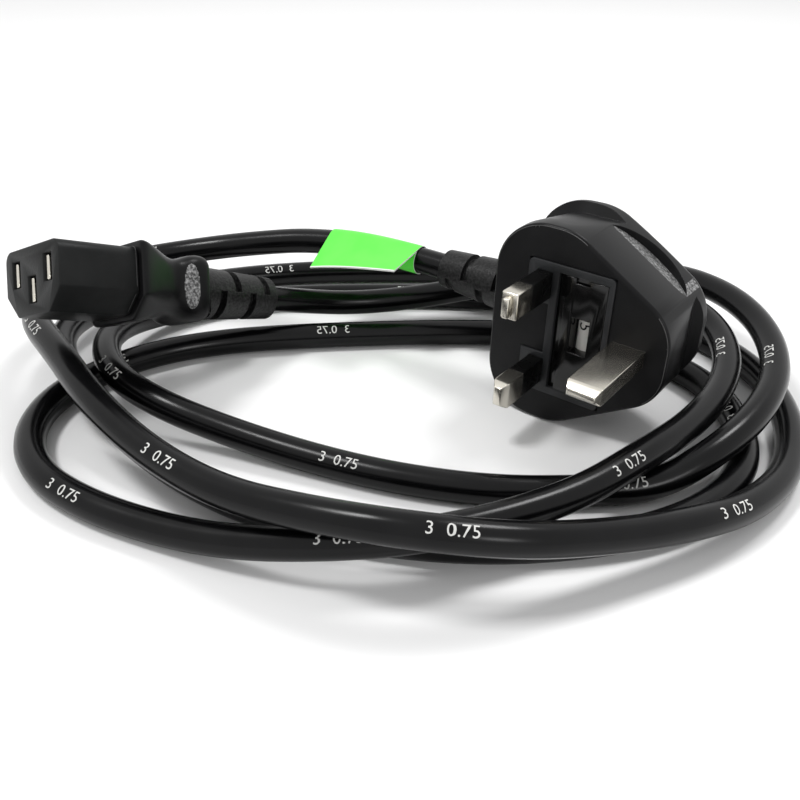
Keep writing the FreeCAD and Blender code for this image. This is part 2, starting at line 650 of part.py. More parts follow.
def plug_bridge():
    body = new_body("bridge")
    frame = outline(body, "frame", "XZ_Plane", frame_outline("0"), "raise")
    pad(body, "frame_pad", frame, "raise + face_wall", back=True)
    corners = [
        (-value("wing_side"), value("frame_top")), (-value("wing_side"), value("frame_low")),
        (value("frame_side"), value("frame_top")), (value("frame_side"), value("frame_low")),
    ]
    soften(body, "frame_fillet", "frame_round", lambda e: any(along_depth(e, a, b) for a, b in corners))
    block = outline(body, "block", "XZ_Plane", block_outline("0"), "-face_wall")
    pad(body, "block_pad", block, "block_depth - face_wall", back=True)
    panel_room = box_corners("window_left", "-window_low", "window_right", "window_top")
    window = outline(body, "window", "XZ_Plane", panel_room, "raise")
    pocket(body, "window_cut", window, "raise + window_floor")
    chamber = box_corners("well_left", "-well_half", "well_right", "well_half")
    well = outline(body, "well", "XZ_Plane", chamber)
    pocket(body, "well_cut", well, "block_depth + over")
    for name, height in pin_places():
        sleeve = centred("0", height, "pin_thick / 2", "pin_wide / 2")
        hole = outline(body, name + "_hole", "XZ_Plane", sleeve, "raise")
        pocket(body, name + "_hole_cut", hole, "block_depth + over")
        seat = centred("0", height, "pin_thick / 2 + shoulder_out + gap", "pin_wide / 2 + shoulder_out - gap")
        room = outline(body, name + "_room", "XZ_Plane", seat, "-seat_depth")
        pocket(body, name + "_room_cut", room, "block_depth")
    blade = outline(body, "earth_hole", "XZ_Plane", earth_blade())
    pocket(body, "earth_hole_cut", blade, "block_depth + over")
    wide, tall = "earth_wide / 2 + shoulder_out + gap", "pin_thick / 2 + shoulder_out + gap"
    seat = centred("pin_pitch", "0", wide, tall)
    room = outline(body, "earth_room", "XZ_Plane", seat, "-seat_depth")
    pocket(body, "earth_room_cut", room, "block_depth")
    low, top = "clip_height - clip_half - gap", "pin_pitch / 2 + rivet_head + gap"
    strip = box_corners("0", low, "well_left + over", top)
    link = outline(body, "link_room", "XZ_Plane", strip, "-(clip_rear - clip_metal - gap)")
    pocket(body, "link_room_cut", link, "block_depth")
    for name, sign in (("upper", ""), ("lower", "-")):
        peg = round_outline(
            body, name + "_peg_hole", "XZ_Plane", "0", sign + "peg_offset", "peg_radius + gap / 2",
            "-(block_depth - peg_length - gap)",
        )
        pocket(body, name + "_peg_cut", peg, "peg_length + over")
    keep(body, "plug_bridge", seat_plug)


def bridge_back():
    body = new_body("back_plate")
    plate = outline(body, "plate", "XZ_Plane", block_outline("0"), "-block_depth")
    pad(body, "plate_pad", plate, "plate_thick", back=True)
    for name, sign in (("upper", ""), ("lower", "-")):
        place = sign + "peg_offset"
        peg = round_outline(body, name + "_peg", "XZ_Plane", "0", place, "peg_radius", "-block_depth")
        pad(body, name + "_peg_pad", peg, "peg_length")
    wide = "tail_wide / 2 + gap"
    tails = (
        ("neutral_gap", "0", "-pin_pitch / 2", "tail_half + gap", wide),
        ("load_gap", "fuse_side", "-clip_height", "clip_metal / 2 + gap", wide),
        ("earth_gap", "pin_pitch", "0", wide, "tail_half + gap"),
    )
    for name, side, height, across, up in tails:
        corners = centred(side, height, across, up)
        sketch = outline(body, name, "XZ_Plane", corners, "-block_depth + over")
        pocket(body, name + "_cut", sketch, "plate_thick + 2 * over")
    keep(body, "bridge_back", seat_plug)


# Fuse carrier and fuse


def fuse_carrier():
    body = new_body("carrier")
    left, right = "window_left + slide_gap", "window_right - slide_gap"
    low, top = "-(window_low - slide_gap)", "window_top - slide_gap"
    panel = outline(body, "panel", "XZ_Plane", box_corners(left, low, right, top), "raise")
    pad(body, "panel_pad", panel, "raise + window_floor - gap", back=True)
    seat = box_corners("well_left + slide_gap", "-cradle_half", "well_right - slide_gap", "cradle_half")
    cradle = outline(body, "cradle", "XZ_Plane", seat, "-(window_floor - gap)")
    pad(body, "cradle_pad", cradle, "cradle_depth - window_floor + gap", back=True)
    trough = round_outline(body, "trough", "XY_Plane", "fuse_side", "fuse_depth", "tube_radius + gap")
    pocket(body, "trough_cut", trough, "2 * cradle_half + over", both=True)
    for name, near, far in (
        ("upper", "fuse_half + slide_gap", "fuse_half + slide_gap + saddle_thick"),
        ("lower", "-(fuse_half + slide_gap + saddle_thick)", "-(fuse_half + slide_gap)"),
    ):
        corners = box_corners("fuse_side - saddle_half", near, "fuse_side + saddle_half", far)
        stop = outline(body, name + "_stop", "XZ_Plane", corners, "-(window_floor - gap)")
        pad(body, name + "_stop_pad", stop, "cradle_depth - window_floor + gap", back=True)
    low_bar = box_corners("window_left - over", "-window_low - over", "ledge_side", "window_top + over")
    ledge = outline(body, "ledge", "XZ_Plane", low_bar, "raise")
    pocket(body, "ledge_cut", ledge, "ledge_drop")
    window = box_corners("sight_left", "-sight_low", "sight_right", "sight_top")
    sight = outline(body, "sight", "XZ_Plane", window, "raise")
    pocket(body, "sight_cut", sight, "raise + window_floor + over")
    notch_low = "window_top - slide_gap - notch_height"
    tip_room = box_corners("notch_left", notch_low, "notch_right", "window_top + over")
    notch = outline(body, "notch", "XZ_Plane", tip_room, "raise")
    pocket(body, "notch_cut", notch, "notch_depth")
    keep(body, "fuse_carrier", seat_plug)


def cylinder(name, radius, height, low):
    """A round rod along the fuse's axis."""
    rod = doc.addObject("Part::Cylinder", name)
    bind(rod, "Radius", radius)
    bind(rod, "Height", height)
    bind(rod, "Placement.Base.x", "fuse_side")
    bind(rod, "Placement.Base.y", "fuse_depth")
    bind(rod, "Placement.Base.z", low)
    return rod


def cut(name, base, tool):
    result = doc.addObject("Part::Cut", name)
    result.Base = base
    result.Tool = tool
    return result


def fuse_parts():
    inner_half = "(fuse_half - cap_wall)"
    tube_half = "(fuse_half - cap_wall - cap_play)"
    outside = cylinder("tube_outside", "tube_radius", f"2 * {tube_half}", f"-{tube_half}")
    bore = cylinder("tube_bore_rod", "tube_bore", "2 * fuse_half", "-fuse_half")
    keep(cut("tube_cut", outside, bore), "fuse_tube", seat_plug)
    for name, low, hollow_low in (
        ("line", "fuse_half - cap_length", "fuse_half - cap_length - over"),
        ("load", "-fuse_half", "-(fuse_half - cap_wall)"),
    ):
        outside = cylinder(name + "_cap_outside", "cap_radius", "cap_length", low)
        deep = "cap_length - cap_wall + over"
        hollow = cylinder(name + "_cap_hollow", "tube_radius + cap_play", deep, hollow_low)
        keep(cut(name + "_cap_cut", outside, hollow), "fuse_cap_" + name, seat_plug)
    element = doc.addObject("Part::Cylinder", "element")
    bind(element, "Radius", "element_radius")
    bind(element, "Height", f"2 * {inner_half}")
    element.Label = "fuse_wire"
    bind(element, "Placement.Base.x", f"fuse_side + {PLUG_SEAT[0]}")
    bind(element, "Placement.Base.y", f"fuse_depth + {PLUG_SEAT[1]}")
    bind(element, "Placement.Base.z", f"half_height - {inner_half}")
    pieces.append(element)


# Pins, sleeves and clips


def pin_tip(body, side, height, half_across, half_up, thin_across, thin_up, length):
    """A blade's sloping tip, lofted from the full section to the smaller end face."""
    sections = []
    for name, less_across, less_up, place in (
        ("tip_root", "0", "0", f"{length} - tip_length"), ("tip_end", thin_across, thin_up, length)
    ):
        corners = centred(side, height, f"{half_across} - {less_across}", f"{half_up} - {less_up}")
        sections.append(outline(body, name, "XZ_Plane", corners, place))
    doc.recompute()
    loft = body.newObject("PartDesign::AdditiveLoft", "tip")
    loft.Profile = sections[0]
    loft.Sections = sections[1:]
    loft.Ruled = True
    finished(loft)


def block_pad(body, name, side, height, half_across, half_up, front, rear):
    """A rectangular length of a pin between two depths."""
    corners = centred(side, height, half_across, half_up)
    sketch = outline(body, name, "XZ_Plane", corners, f"-({front})")
    return pad(body, name + "_pad", sketch, f"({rear}) - ({front})", back=True)


def upright_barrel(body, name, side, height):
    """A crimp barrel whose bore runs up and down."""
    low = f"{height} - barrel_length / 2"
    sketch = round_outline(body, name + "_barrel", "XY_Plane", side, "cord_depth", "barrel_radius", low)
    pad(body, name + "_barrel_pad", sketch, "barrel_length")
    bore = round_outline(body, name + "_bore", "XY_Plane", side, "cord_depth", "barrel_bore", low)
    pocket(body, name + "_bore_cut", bore, "barrel_length", back=True)


def small_pin(name, height):
    body = new_body(name + "_pin_body")
    front = "-(pin_length - tip_length)"
    block_pad(body, "blade", "0", height, "pin_thick / 2", "pin_wide / 2", front, "-sleeve_length")
    pin_tip(body, "0", height, "pin_thick / 2", "pin_wide / 2", "tip_thin", "tip_narrow", "pin_length")
    core = ("core_thick / 2", "core_wide / 2")
    block_pad(body, "shank", "0", height, *core, "-sleeve_length", "seat_depth")
    collar = ("pin_thick / 2 + shoulder_out", "pin_wide / 2 + shoulder_out - 2 * gap")
    block_pad(body, "shoulder", "0", height, *collar, "seat_depth", "seat_depth + shoulder_thick")
    if name == "neutral":
        tail = ("tail_half", "tail_wide / 2")
        block_pad(body, "tail", "0", height, *tail, "seat_depth + shoulder_thick", "cord_depth")
        upright_barrel(body, name, "0", height)
    else:
        front_face = "clip_rear - clip_metal"
        block_pad(body, "tail", "0", height, *core, "seat_depth + shoulder_thick", front_face)
        shaft = round_outline(body, "rivet", "XZ_Plane", "0", height, "rivet_radius", f"-({front_face})")
        pad(body, "rivet_pad", shaft, "clip_metal", back=True)
        head = round_outline(body, "rivet_top", "XZ_Plane", "0", height, "rivet_head", "-clip_rear")
        pad(body, "rivet_top_pad", head, "rivet_rise", back=True)
    keep(body, name + "_pin", seat_plug)


def small_sleeve(name, height):
    body = new_body(name + "_sleeve_body")
    block_pad(body, "sleeve", "0", height, "pin_thick / 2", "pin_wide / 2", "-sleeve_length", "seat_depth")
    corners = centred("0", height, "core_thick / 2", "core_wide / 2")
    inner = outline(body, "sleeve_inside", "XZ_Plane", corners, "sleeve_length")
    pocket(body, "sleeve_inside_cut", inner, "sleeve_length + seat_depth")
    keep(body, name + "_sleeve", seat_plug)


def earth_pin():
    body = new_body("earth_pin_body")
    half = "earth_wide / 2"
    front = "-(earth_length - tip_length)"
    block_pad(body, "blade", "pin_pitch", "0", half, "pin_thick / 2", front, "seat_depth")
    pin_tip(body, "pin_pitch", "0", half, "pin_thick / 2", "tip_narrow", "tip_thin", "earth_length")
    block_pad(
        body, "shoulder", "pin_pitch", "0", half + " + shoulder_out", "pin_thick / 2 + shoulder_out",
        "seat_depth", "seat_depth + shoulder_thick",
    )
    tail = ("tail_wide / 2", "tail_half")
    block_pad(body, "tail", "pin_pitch", "0", *tail, "seat_depth + shoulder_thick", "cord_depth")
    start = "pin_pitch - barrel_length / 2"
    sketch = round_outline(body, "barrel", "YZ_Plane", "cord_depth", "0", "barrel_radius", start)
    pad(body, "barrel_pad", sketch, "barrel_length")
    bore = round_outline(body, "bore", "YZ_Plane", "cord_depth", "0", "barrel_bore", start)
    pocket(body, "bore_cut", bore, "barrel_length", back=True)
    keep(body, "earth_pin", seat_plug)


def clip_outline(extra_left=None):
    """A spring clip seen along the fuse: two arms beside the cap, and a base behind it."""
    reach = "(cap_radius + gap)"
    near, far = f"fuse_side - {reach}", f"fuse_side + {reach}"
    near_out, far_out = f"{near} - clip_metal", f"{far} + clip_metal"
    floor = "clip_rear - clip_metal"
    arm = [(near_out, "clip_front"), (near, "clip_front"), (near, floor), (far, floor), (far, "clip_front")]
    rest = [(far_out, "clip_front"), (far_out, "clip_rear")]
    if extra_left is None:
        return arm + rest + [(near_out, "clip_rear")]
    return arm + rest + [(extra_left, "clip_rear"), (extra_left, floor), (near_out, floor)]


def line_clip():
    body = new_body("line_clip_body")
    low = "clip_height - clip_half"
    shape = outline(body, "clip", "XY_Plane", clip_outline("-core_thick / 2"), low)
    pad(body, "clip_pad", shape, "pin_pitch / 2 + rivet_head - clip_height + clip_half")
    base = "-(clip_rear - clip_metal)"
    hole = round_outline(body, "rivet_hole", "XZ_Plane", "0", "pin_pitch / 2", "rivet_radius", base)
    pocket(body, "rivet_hole_cut", hole, "clip_metal")
    keep(body, "line_clip", seat_plug)


def load_clip():
    body = new_body("load_clip_body")
    low = "-(clip_height + clip_half)"
    shape = outline(body, "clip", "XY_Plane", clip_outline(), low)
    pad(body, "clip_pad", shape, "2 * clip_half")
    tail = ("clip_metal / 2", "tail_wide / 2")
    block_pad(body, "tail", "fuse_side", "-clip_height", *tail, "clip_rear - clip_metal", "cord_depth")
    upright_barrel(body, "load", "fuse_side", "-clip_height")
    keep(body, "load_clip", seat_plug)


# Wires in the plug


def lay_places():
    """Where the three cores lie across the cord, sideways and up."""
    lay = LAY_REACH * value("wire_radius")
    side, rise = LAY_SIDE * lay, LAY_RISE * lay
    return {"neutral": (-side, rise), "line": (side, rise), "earth": (0, -lay)}


def plug_wire_routes():
    """Each wire from the sheath's end to its barrel; the bends between them are chosen by hand."""
    start, depth = -value("side_cable - relief_inside"), value("cord_depth")
    (side_lay, rise), lay = lay_places()["line"], LAY_REACH * value("wire_radius")
    barrel_top = value("barrel_length") / 2
    neutral, load = -value("pin_pitch") / 2, -value("clip_height")
    side, earth = value("fuse_side"), value("pin_pitch") - barrel_top
    return {
        "neutral": [(start, depth, -lay), (0, depth, -lay), (0, depth, neutral + barrel_top)],
        "line": [
            (start, depth - side_lay, rise), (start + 4.5, depth, 1.4), (side - 5, depth, 1.3),
            (side, depth, -1.8), (side, depth, load + barrel_top),
        ],
        "earth": [
            (start, depth + side_lay, rise), (start + 5, depth + 2.2, 3.6), (side - 4, depth + 1.2, 4.5),
            (earth - 5, depth, 0), (earth, depth, 0),
        ],
    }


def wire_shape(route, radius, bare):
    """An insulated wire whose bared end runs on into its barrel."""
    body = tube(route, radius)[0]
    end, before = FreeCAD.Vector(*route[-1]), FreeCAD.Vector(*route[-2])
    strand = Part.makeCylinder(bare, value("barrel_length - 4 * gap"), end, end - before)
    return body.fuse(strand).removeSplitter()


def wires(prefix, routes, seat):
    """Adds the wires and returns the channels that the moulding leaves for them."""
    channels = []
    for name, route in routes.items():
        item = doc.addObject("Part::Feature", prefix + name)
        item.Shape = wire_shape(route, value("wire_radius"), value("strand_radius"))
        keep(item, prefix + name, seat)
        channels.append(tube(route, value("wire_radius + gap"))[0])
    return channels[0].fuse(channels[1:])


# Appliance connector, drawn with its face at zero depth and its width along X


def connector_outline(half, top, cut_size):
    left, low = f"-({half})", f"-({top})"
    return [
        (left, top), (left, f"{low} + {cut_size}"), (f"{left} + {cut_size}", low),
        (f"({half}) - {cut_size}", low), (half, f"{low} + {cut_size}"), (half, top),
    ]


def contact_places():
    return (
        ("neutral", "-slot_side", "slot_rise"),
        ("line", "slot_side", "slot_rise"),
        ("earth", "0", "-slot_rise"),
    )


def connector_insert():
    body = new_body("insert")
    nose = outline(body, "nose", "XZ_Plane", connector_outline("nose_half", "nose_top", "nose_cut"))
    pad(body, "nose_pad", nose, "nose_length", back=True)
    half, top = value("nose_half"), value("nose_top")
    soften(body, "nose_fillet", "nose_round",
           lambda e: any(along_depth(e, side, top) and e.BoundBox.ZMin > 0 for side in (half, -half)))
    rear = box_corners("-stub_half", "-stub_top", "stub_half", "stub_top")
    stub = outline(body, "stub", "XZ_Plane", rear, "-nose_length")
    pad(body, "stub_pad", stub, "stub_end - nose_length", back=True)
    for name, side, height in contact_places():
        opening = centred(side, height, "slot_wide / 2", "slot_tall / 2")
        slot = outline(body, name + "_slot", "XZ_Plane", opening)
        pocket(body, name + "_slot_cut", slot, "slot_depth")
        room = centred(side, height, "slot_wide / 2", "barrel_radius + gap")
        hole = outline(body, name + "_room", "XZ_Plane", room, "-slot_depth")
        pocket(body, name + "_room_cut", hole, "stub_end")
    keep(body, "connector_insert", seat_connector)


def connector_contact(name, side, height):
    """A folded contact: a long leaf, a base and a short leaf, with a barrel behind."""
    body = new_body(name + "_contact")
    left, right = f"{side} - slot_wide / 2 + gap", f"{side} + slot_wide / 2 - gap"
    base = "slot_depth - contact_metal - gap"
    rear = "slot_depth - gap"
    left_in, right_in = f"{left} + contact_metal", f"{right} - contact_metal"
    corners = [
        (left, "contact_start"), (left_in, "contact_start"), (left_in, base), (right_in, base),
        (right_in, "contact_short"), (right, "contact_short"), (right, rear), (left, rear),
    ]
    leaf = outline(body, "leaf", "XY_Plane", corners, f"{height} - slot_tall / 2 + gap")
    pad(body, "leaf_pad", leaf, "slot_tall - 2 * gap")
    barrel = round_outline(body, "barrel", "XZ_Plane", side, height, "barrel_radius", f"-({rear})")
    pad(body, "barrel_pad", barrel, "barrel_length", back=True)
    bore = round_outline(body, "bore", "XZ_Plane", side, height, "barrel_bore", "-slot_depth")
    pocket(body, "bore_cut", bore, "barrel_length")
    keep(body, "contact_" + name, seat_connector)


def connector_wire_routes():
    barrel_end, stub = value("slot_depth - gap + barrel_length"), value("stub_end")
    join, ends = value("join_depth"), lay_places()
    routes = {}
    for name, side, height in contact_places():
        across, up = value(side), value(height)
        last_across, last_up = ends[name]
        routes[name] = [
            (last_across, join, last_up), (last_across * 1.5, join - 5, last_up * 1.5),
            (across, stub + 1.5, up), (across, barrel_end, up),
        ]
    return routes


def connector_grip(channels):
    body = new_body("grip")
    wide, tall = "nose_half + grip_step", "nose_top + grip_step"
    full = connector_outline(wide, tall, "nose_cut")
    half_way = connector_outline("flare_half", "flare_top", "flare_cut")
    thin = connector_outline("neck_half", "neck_top", "neck_cut")
    shoulder = outline(body, "shoulder", "XZ_Plane", full, "-nose_length")
    pad(body, "shoulder_pad", shoulder, "grip_even", back=True)
    sections = [
        outline(body, "flare_a", "XZ_Plane", full, "-(nose_length + grip_even)"),
        outline(body, "flare_b", "XZ_Plane", half_way, "-(nose_length + grip_even + neck_place) / 2"),
        outline(body, "flare_c", "XZ_Plane", thin, "-neck_place"),
    ]
    doc.recompute()
    loft = body.newObject("PartDesign::AdditiveLoft", "flare")
    loft.Profile = sections[0]
    loft.Sections = sections[1:]
    finished(loft)
    neck = outline(body, "neck", "XZ_Plane", thin, "-neck_place")
    pad(body, "neck_pad", neck, "collar_end - neck_place", back=True)
    ring = box_corners("-collar_half", "-collar_top", "collar_half", "collar_top")
    collar = outline(body, "collar", "XZ_Plane", ring, "-collar_start")
    pad(body, "collar_pad", collar, "collar_end - collar_start", back=True)
    half, top = value("collar_half"), value("collar_top")
    soften(body, "collar_corners", "collar_round",
           lambda e: any(along_depth(e, side, top) for side in (half, -half)))
    front, rear = value("collar_start"), value("collar_end")
    soften(body, "collar_edges", "collar_edge",
           lambda e: (flat_at(e, front) or flat_at(e, rear)) and reaches(e, half, top))

    inside, outer = "collar_end - tail_inside", "tail_root + 2 * over"
    sketch = outline(
        body, "relief", "XY_Plane",
        [
            ("0", inside), ("tail_root", inside), ("tail_root", "collar_end"),
            ("tail_tip", "tail_end"), ("0", "tail_end"),
        ],
    )
    turned(body, "PartDesign::Revolution", "relief_cone", sketch, "V_Axis", 360)
    for index in range(SLOT_COUNT):
        place = f"tail_end - relief_first - {index} * relief_pitch"
        near, far = f"{place} - relief_slot / 2", f"{place} + relief_slot / 2"
        sketch = outline(body, f"slot{index}", "XY_Plane", box_corners("relief_core", near, outer, far))
        kind, back = "PartDesign::Groove", index % 2 == 0
        turned(body, kind, f"slot_cut{index}", sketch, "V_Axis", SLOT_TURN, back=back)
    stub = centred("0", "0", "stub_half + gap", "stub_top + gap")
    hollow = outline(body, "stub_hollow", "XZ_Plane", stub, "-nose_length")
    pocket(body, "stub_hollow_cut", hollow, "stub_end + gap - nose_length")
    tools = doc.addObject("Part::Feature", "connector_channels")
    tools.Shape = channels
    grip = cut("connector_grip_cut", body, tools)
    keep(grip, "connector_grip", seat_connector)


def reaches(edge, half, top):
    """True for an edge on the collar's outer outline."""
    box = edge.BoundBox
    across, up = max(abs(box.XMin), abs(box.XMax)), max(abs(box.ZMin), abs(box.ZMax))
    return across > half - NEAR or up > top - NEAR


# Cord and its label


def cord():
    points = list(CORD_POINTS)
    seat = [value(text) for text in PLUG_SEAT]
    points[0] = (seat[0] - value("side_cable + relief_length"), seat[1] + value("cord_depth"), seat[2])
    radius = value("cord_radius")
    shape, length, radii = tube(points, radius)
    print("cord length %.1f, radii" % length, " ".join("%.0f" % r for r in radii))
    if min(radii) < SMALLEST_BEND:
        raise ValueError("the cord bends too sharply")
    if abs(shape.Volume / (math.pi * radius**2 * length) - 1) > 0.01:
        raise ValueError("the cord's volume is wrong")
    item = doc.addObject("Part::Feature", "cord_tube")
    item.Shape = shape
    item.Label = "cord"
    pieces.append(item)


def label_wire(radius, reach):
    """A teardrop round the cord: an arc and two straight sides that meet at the free edge."""
    half_angle = math.asin(radius / reach)
    touch = FreeCAD.Vector(radius * math.sin(half_angle), radius * math.cos(half_angle), 0)
    low = FreeCAD.Vector(touch.x, -touch.y, 0)
    tip = FreeCAD.Vector(reach, 0, 0)
    arc = Part.Arc(touch, FreeCAD.Vector(-radius, 0, 0), low)
    lines = [Part.LineSegment(low, tip), Part.LineSegment(tip, touch)]
    return Part.Wire([arc.toShape()] + [line.toShape() for line in lines])


def cord_label():
    first, second, third = (FreeCAD.Vector(*p) for p in CORD_POINTS[:3])
    heading = (third - first).normalize()
    middle = (first + second * 2 + third) * 0.25
    inner = value("cord_radius + label_play")
    thick, reach, length = value("label_thick"), value("label_reach"), value("label_length")
    ring = Part.Face(label_wire(inner + thick, reach))
    hole = Part.Face(label_wire(inner, reach - 2 * thick))
    shape = ring.cut(hole).extrude(FreeCAD.Vector(0, 0, length))
    # The teardrop's point leans down and to the front of the strand.
    lean = math.radians(value("label_lean"))
    down = FreeCAD.Vector(0, -math.cos(lean), -math.sin(lean))
    out = (down - heading * down.dot(heading)).normalize()
    up = heading.cross(out)
    place = FreeCAD.Matrix(
        out.x, up.x, heading.x, 0, out.y, up.y, heading.y, 0, out.z, up.z, heading.z, 0, 0, 0, 0, 1
    )
    item = doc.addObject("Part::Feature", "label_sheet")
    item.Shape = shape
    item.Placement = FreeCAD.Placement(middle - heading * (length / 2), FreeCAD.Placement(place).Rotation)
    item.Label = "cord_label"
    pieces.append(item)


# Build, check and write

plug_channels = wires("plug_wire_", plug_wire_routes(), seat_plug)
plug_cover(plug_channels)
plug_bridge()
bridge_back()
fuse_carrier()
fuse_parts()
for pin_name, pin_height in pin_places():
    small_pin(pin_name, pin_height)
    small_sleeve(pin_name, pin_height)
earth_pin()
line_clip()
load_clip()
connector_insert()
for contact_name, contact_side, contact_height in contact_places():
    connector_contact(contact_name, contact_side, contact_height)
connector_grip(wires("connector_wire_", connector_wire_routes(), seat_connector))
cord()
cord_label()
doc.recompute()

for item in doc.Objects:
    if "Invalid" in item.State or "Error" in item.State:
        raise ValueError(f"{item.Label} failed: {item.State}")
for item in pieces:
    if item.Shape.isNull() or not item.Shape.isValid():
        raise ValueError(item.Label + " has no valid shape")
    if len(item.Shape.Solids) != 1:
        raise ValueError(f"{item.Label} has {len(item.Shape.Solids)} solids")
    print("%-24s %9.1f mm3" % (item.Label, item.Shape.Volume))

os.makedirs("parts", exist_ok=True)
for item in pieces:
    item.Shape.exportStep(os.path.join("parts", item.Label + ".step"))
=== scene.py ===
# %% [markdown]
# # A mains lead, dressed for its portrait
# The lead has a moulded three pin plug at one end, an appliance connector at the other, and nearly
# two metres of round cord laid in loose turns between them. Its construction comes from the CAD model.
# This lesson adds what the CAD model can't say: how the cord lies, what each surface is made of, and
# the small rounded edges and marks that moulding and stamping leave.

# %% Load the CAD model
import json
import math

import bmesh
import bpy
from mathutils import Matrix, Vector


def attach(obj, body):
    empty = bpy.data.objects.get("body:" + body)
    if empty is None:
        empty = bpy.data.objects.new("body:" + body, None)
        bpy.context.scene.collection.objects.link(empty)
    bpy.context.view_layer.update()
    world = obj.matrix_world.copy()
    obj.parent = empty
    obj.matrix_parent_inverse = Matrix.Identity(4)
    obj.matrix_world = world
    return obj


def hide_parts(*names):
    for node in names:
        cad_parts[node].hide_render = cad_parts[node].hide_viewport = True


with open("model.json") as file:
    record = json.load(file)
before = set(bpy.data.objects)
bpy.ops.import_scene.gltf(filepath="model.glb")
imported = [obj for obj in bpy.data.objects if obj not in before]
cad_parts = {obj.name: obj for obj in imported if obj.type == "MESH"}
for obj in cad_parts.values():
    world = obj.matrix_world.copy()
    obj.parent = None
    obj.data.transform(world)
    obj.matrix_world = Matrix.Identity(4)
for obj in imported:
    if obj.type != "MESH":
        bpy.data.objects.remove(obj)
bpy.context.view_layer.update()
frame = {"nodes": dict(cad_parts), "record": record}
MM = 0.001

# %% [markdown]
# ## The camera
# The photographer stood in front of the pins, to the right of the plug, and looked down at about
# thirty degrees. A camera is a matrix: its columns are what lies to the right, what lies above, and
# what lies behind the lens. Setting those columns is safer than turning the camera by angles.

# %% Camera
CAMERA_PLACE = Vector((88.0, -174.45, 120.8)) * MM
CAMERA_RIGHT = Vector((0.800, 0.600, 0.022)).normalized()
CAMERA_BEHIND = Vector((0.502, -0.688, 0.525)).normalized()
CAMERA_LENS = 40.5
SENSOR_WIDTH = 36
NEAREST_SEEN = 10 * MM

bpy.ops.object.select_all(action="DESELECT")
bpy.ops.object.camera_add()
camera = bpy.context.object
camera.name = "photo_camera"
above = CAMERA_BEHIND.cross(CAMERA_RIGHT).normalized()
behind = CAMERA_RIGHT.cross(above)
turn = Matrix((CAMERA_RIGHT, above, behind)).transposed()
camera.matrix_world = Matrix.Translation(CAMERA_PLACE) @ turn.to_4x4()
camera.data.lens = CAMERA_LENS
camera.data.sensor_width = SENSOR_WIDTH
camera.data.clip_start = NEAREST_SEEN
bpy.context.scene.camera = camera
print("camera looks along", [round(-v, 3) for v in behind])

# %% [markdown]
# ## Colours and nodes
# Colours are written as the hex values that a paint program shows. Blender works in linear light, so
# one function turns them. A second adds any node, sets its inputs and joins it to others, and a third
# starts a material. Every finish on this lead has two colours in clouds, a gloss that wanders and a fine
# relief, so a last function joins those three patterns to the shader.

# %% Helpers for materials
SOFT_EDGE = 0.25 * MM
EDGE_SAMPLES = 6
MIDDLE_GREY = "#808080"


def linear(code):
    """An sRGB hex colour as linear red, green, blue and alpha."""
    channels = [int(code[i:i + 2], 16) / 255 for i in (1, 3, 5)]
    return [c / 12.92 if c <= 0.04045 else ((c + 0.055) / 1.055) ** 2.4 for c in channels] + [1.0]


def add_node(tree, kind, inputs=(), **settings):
    """Adds a node. An input is given a plain value, or another node's output to join to."""
    made = tree.nodes.new(kind)
    for name, setting in settings.items():
        setattr(made, name, setting)
    for key, given in dict(inputs).items():
        if isinstance(given, bpy.types.NodeSocket):
            tree.links.new(given, made.inputs[key])
        else:
            made.inputs[key].default_value = given
    return made


def new_material(name):
    """An empty node material, with the shader that all of these finishes share."""
    material = bpy.data.materials.new(name)
    material.use_nodes = True
    tree = material.node_tree
    tree.nodes.clear()
    shader = add_node(tree, "ShaderNodeBsdfPrincipled")
    output = add_node(tree, "ShaderNodeOutputMaterial")
    tree.links.new(shader.outputs["BSDF"], output.inputs["Surface"])
    return material, tree, shader


def join_patterns(tree, shader, clouds, colours, worn, roughness, drift, relief, depth_mm):
    """Joins patterns to a shader: two colours in clouds, an uneven gloss and a fine relief."""
    tint = add_node(tree, "ShaderNodeMix", {"Factor": clouds}, data_type="RGBA")
    # A mix node has a socket for each kind of data, so the colour ones are picked by their type.
    for socket, code in zip([s for s in tint.inputs if s.type == "RGBA"], colours):
        socket.default_value = linear(code)
    mixed = next(s for s in tint.outputs if s.type == "RGBA")
    tree.links.new(mixed, shader.inputs["Base Color"])
    wander = add_node(
        tree, "ShaderNodeMapRange",
        {"Value": worn, "To Min": roughness - drift, "To Max": roughness + drift},
    )
    tree.links.new(wander.outputs["Result"], shader.inputs["Roughness"])
    soft_edge = add_node(tree, "ShaderNodeBevel", {"Radius": SOFT_EDGE}, samples=EDGE_SAMPLES)
    bump = add_node(
        tree, "ShaderNodeBump",
        {
            "Height": relief, "Distance": depth_mm * MM, "Strength": 1.0,
            "Normal": soft_edge.outputs["Normal"],
        },
    )
    tree.links.new(bump.outputs["Normal"], shader.inputs["Normal"])


print("middle grey in linear light:", round(linear(MIDDLE_GREY)[0], 3))

# %% [markdown]
# ## Moulded plastics
# Nearly everything black here is moulded PVC, and it differs only in its grain. A mould that was spark
# eroded leaves a fine sandy grain, and a polished one leaves gloss. One recipe makes them all: two
# near-black colours mixed by broad noise, a roughness that wanders a little, and a bump whose scale is
# the grain's real size in millimetres.

# %% Recipe for a moulded plastic
PLASTIC_IOR = 1.5
BLACK_SPECULAR = 0.15
PLASTIC_DRIFT = 0.06
CLOUD_MM = 9.0
CLOUD_DETAIL = 3.0
CLOUD_SPREAD = {"From Min": 0.4, "From Max": 0.72}
GRAIN_DETAIL = 2.0


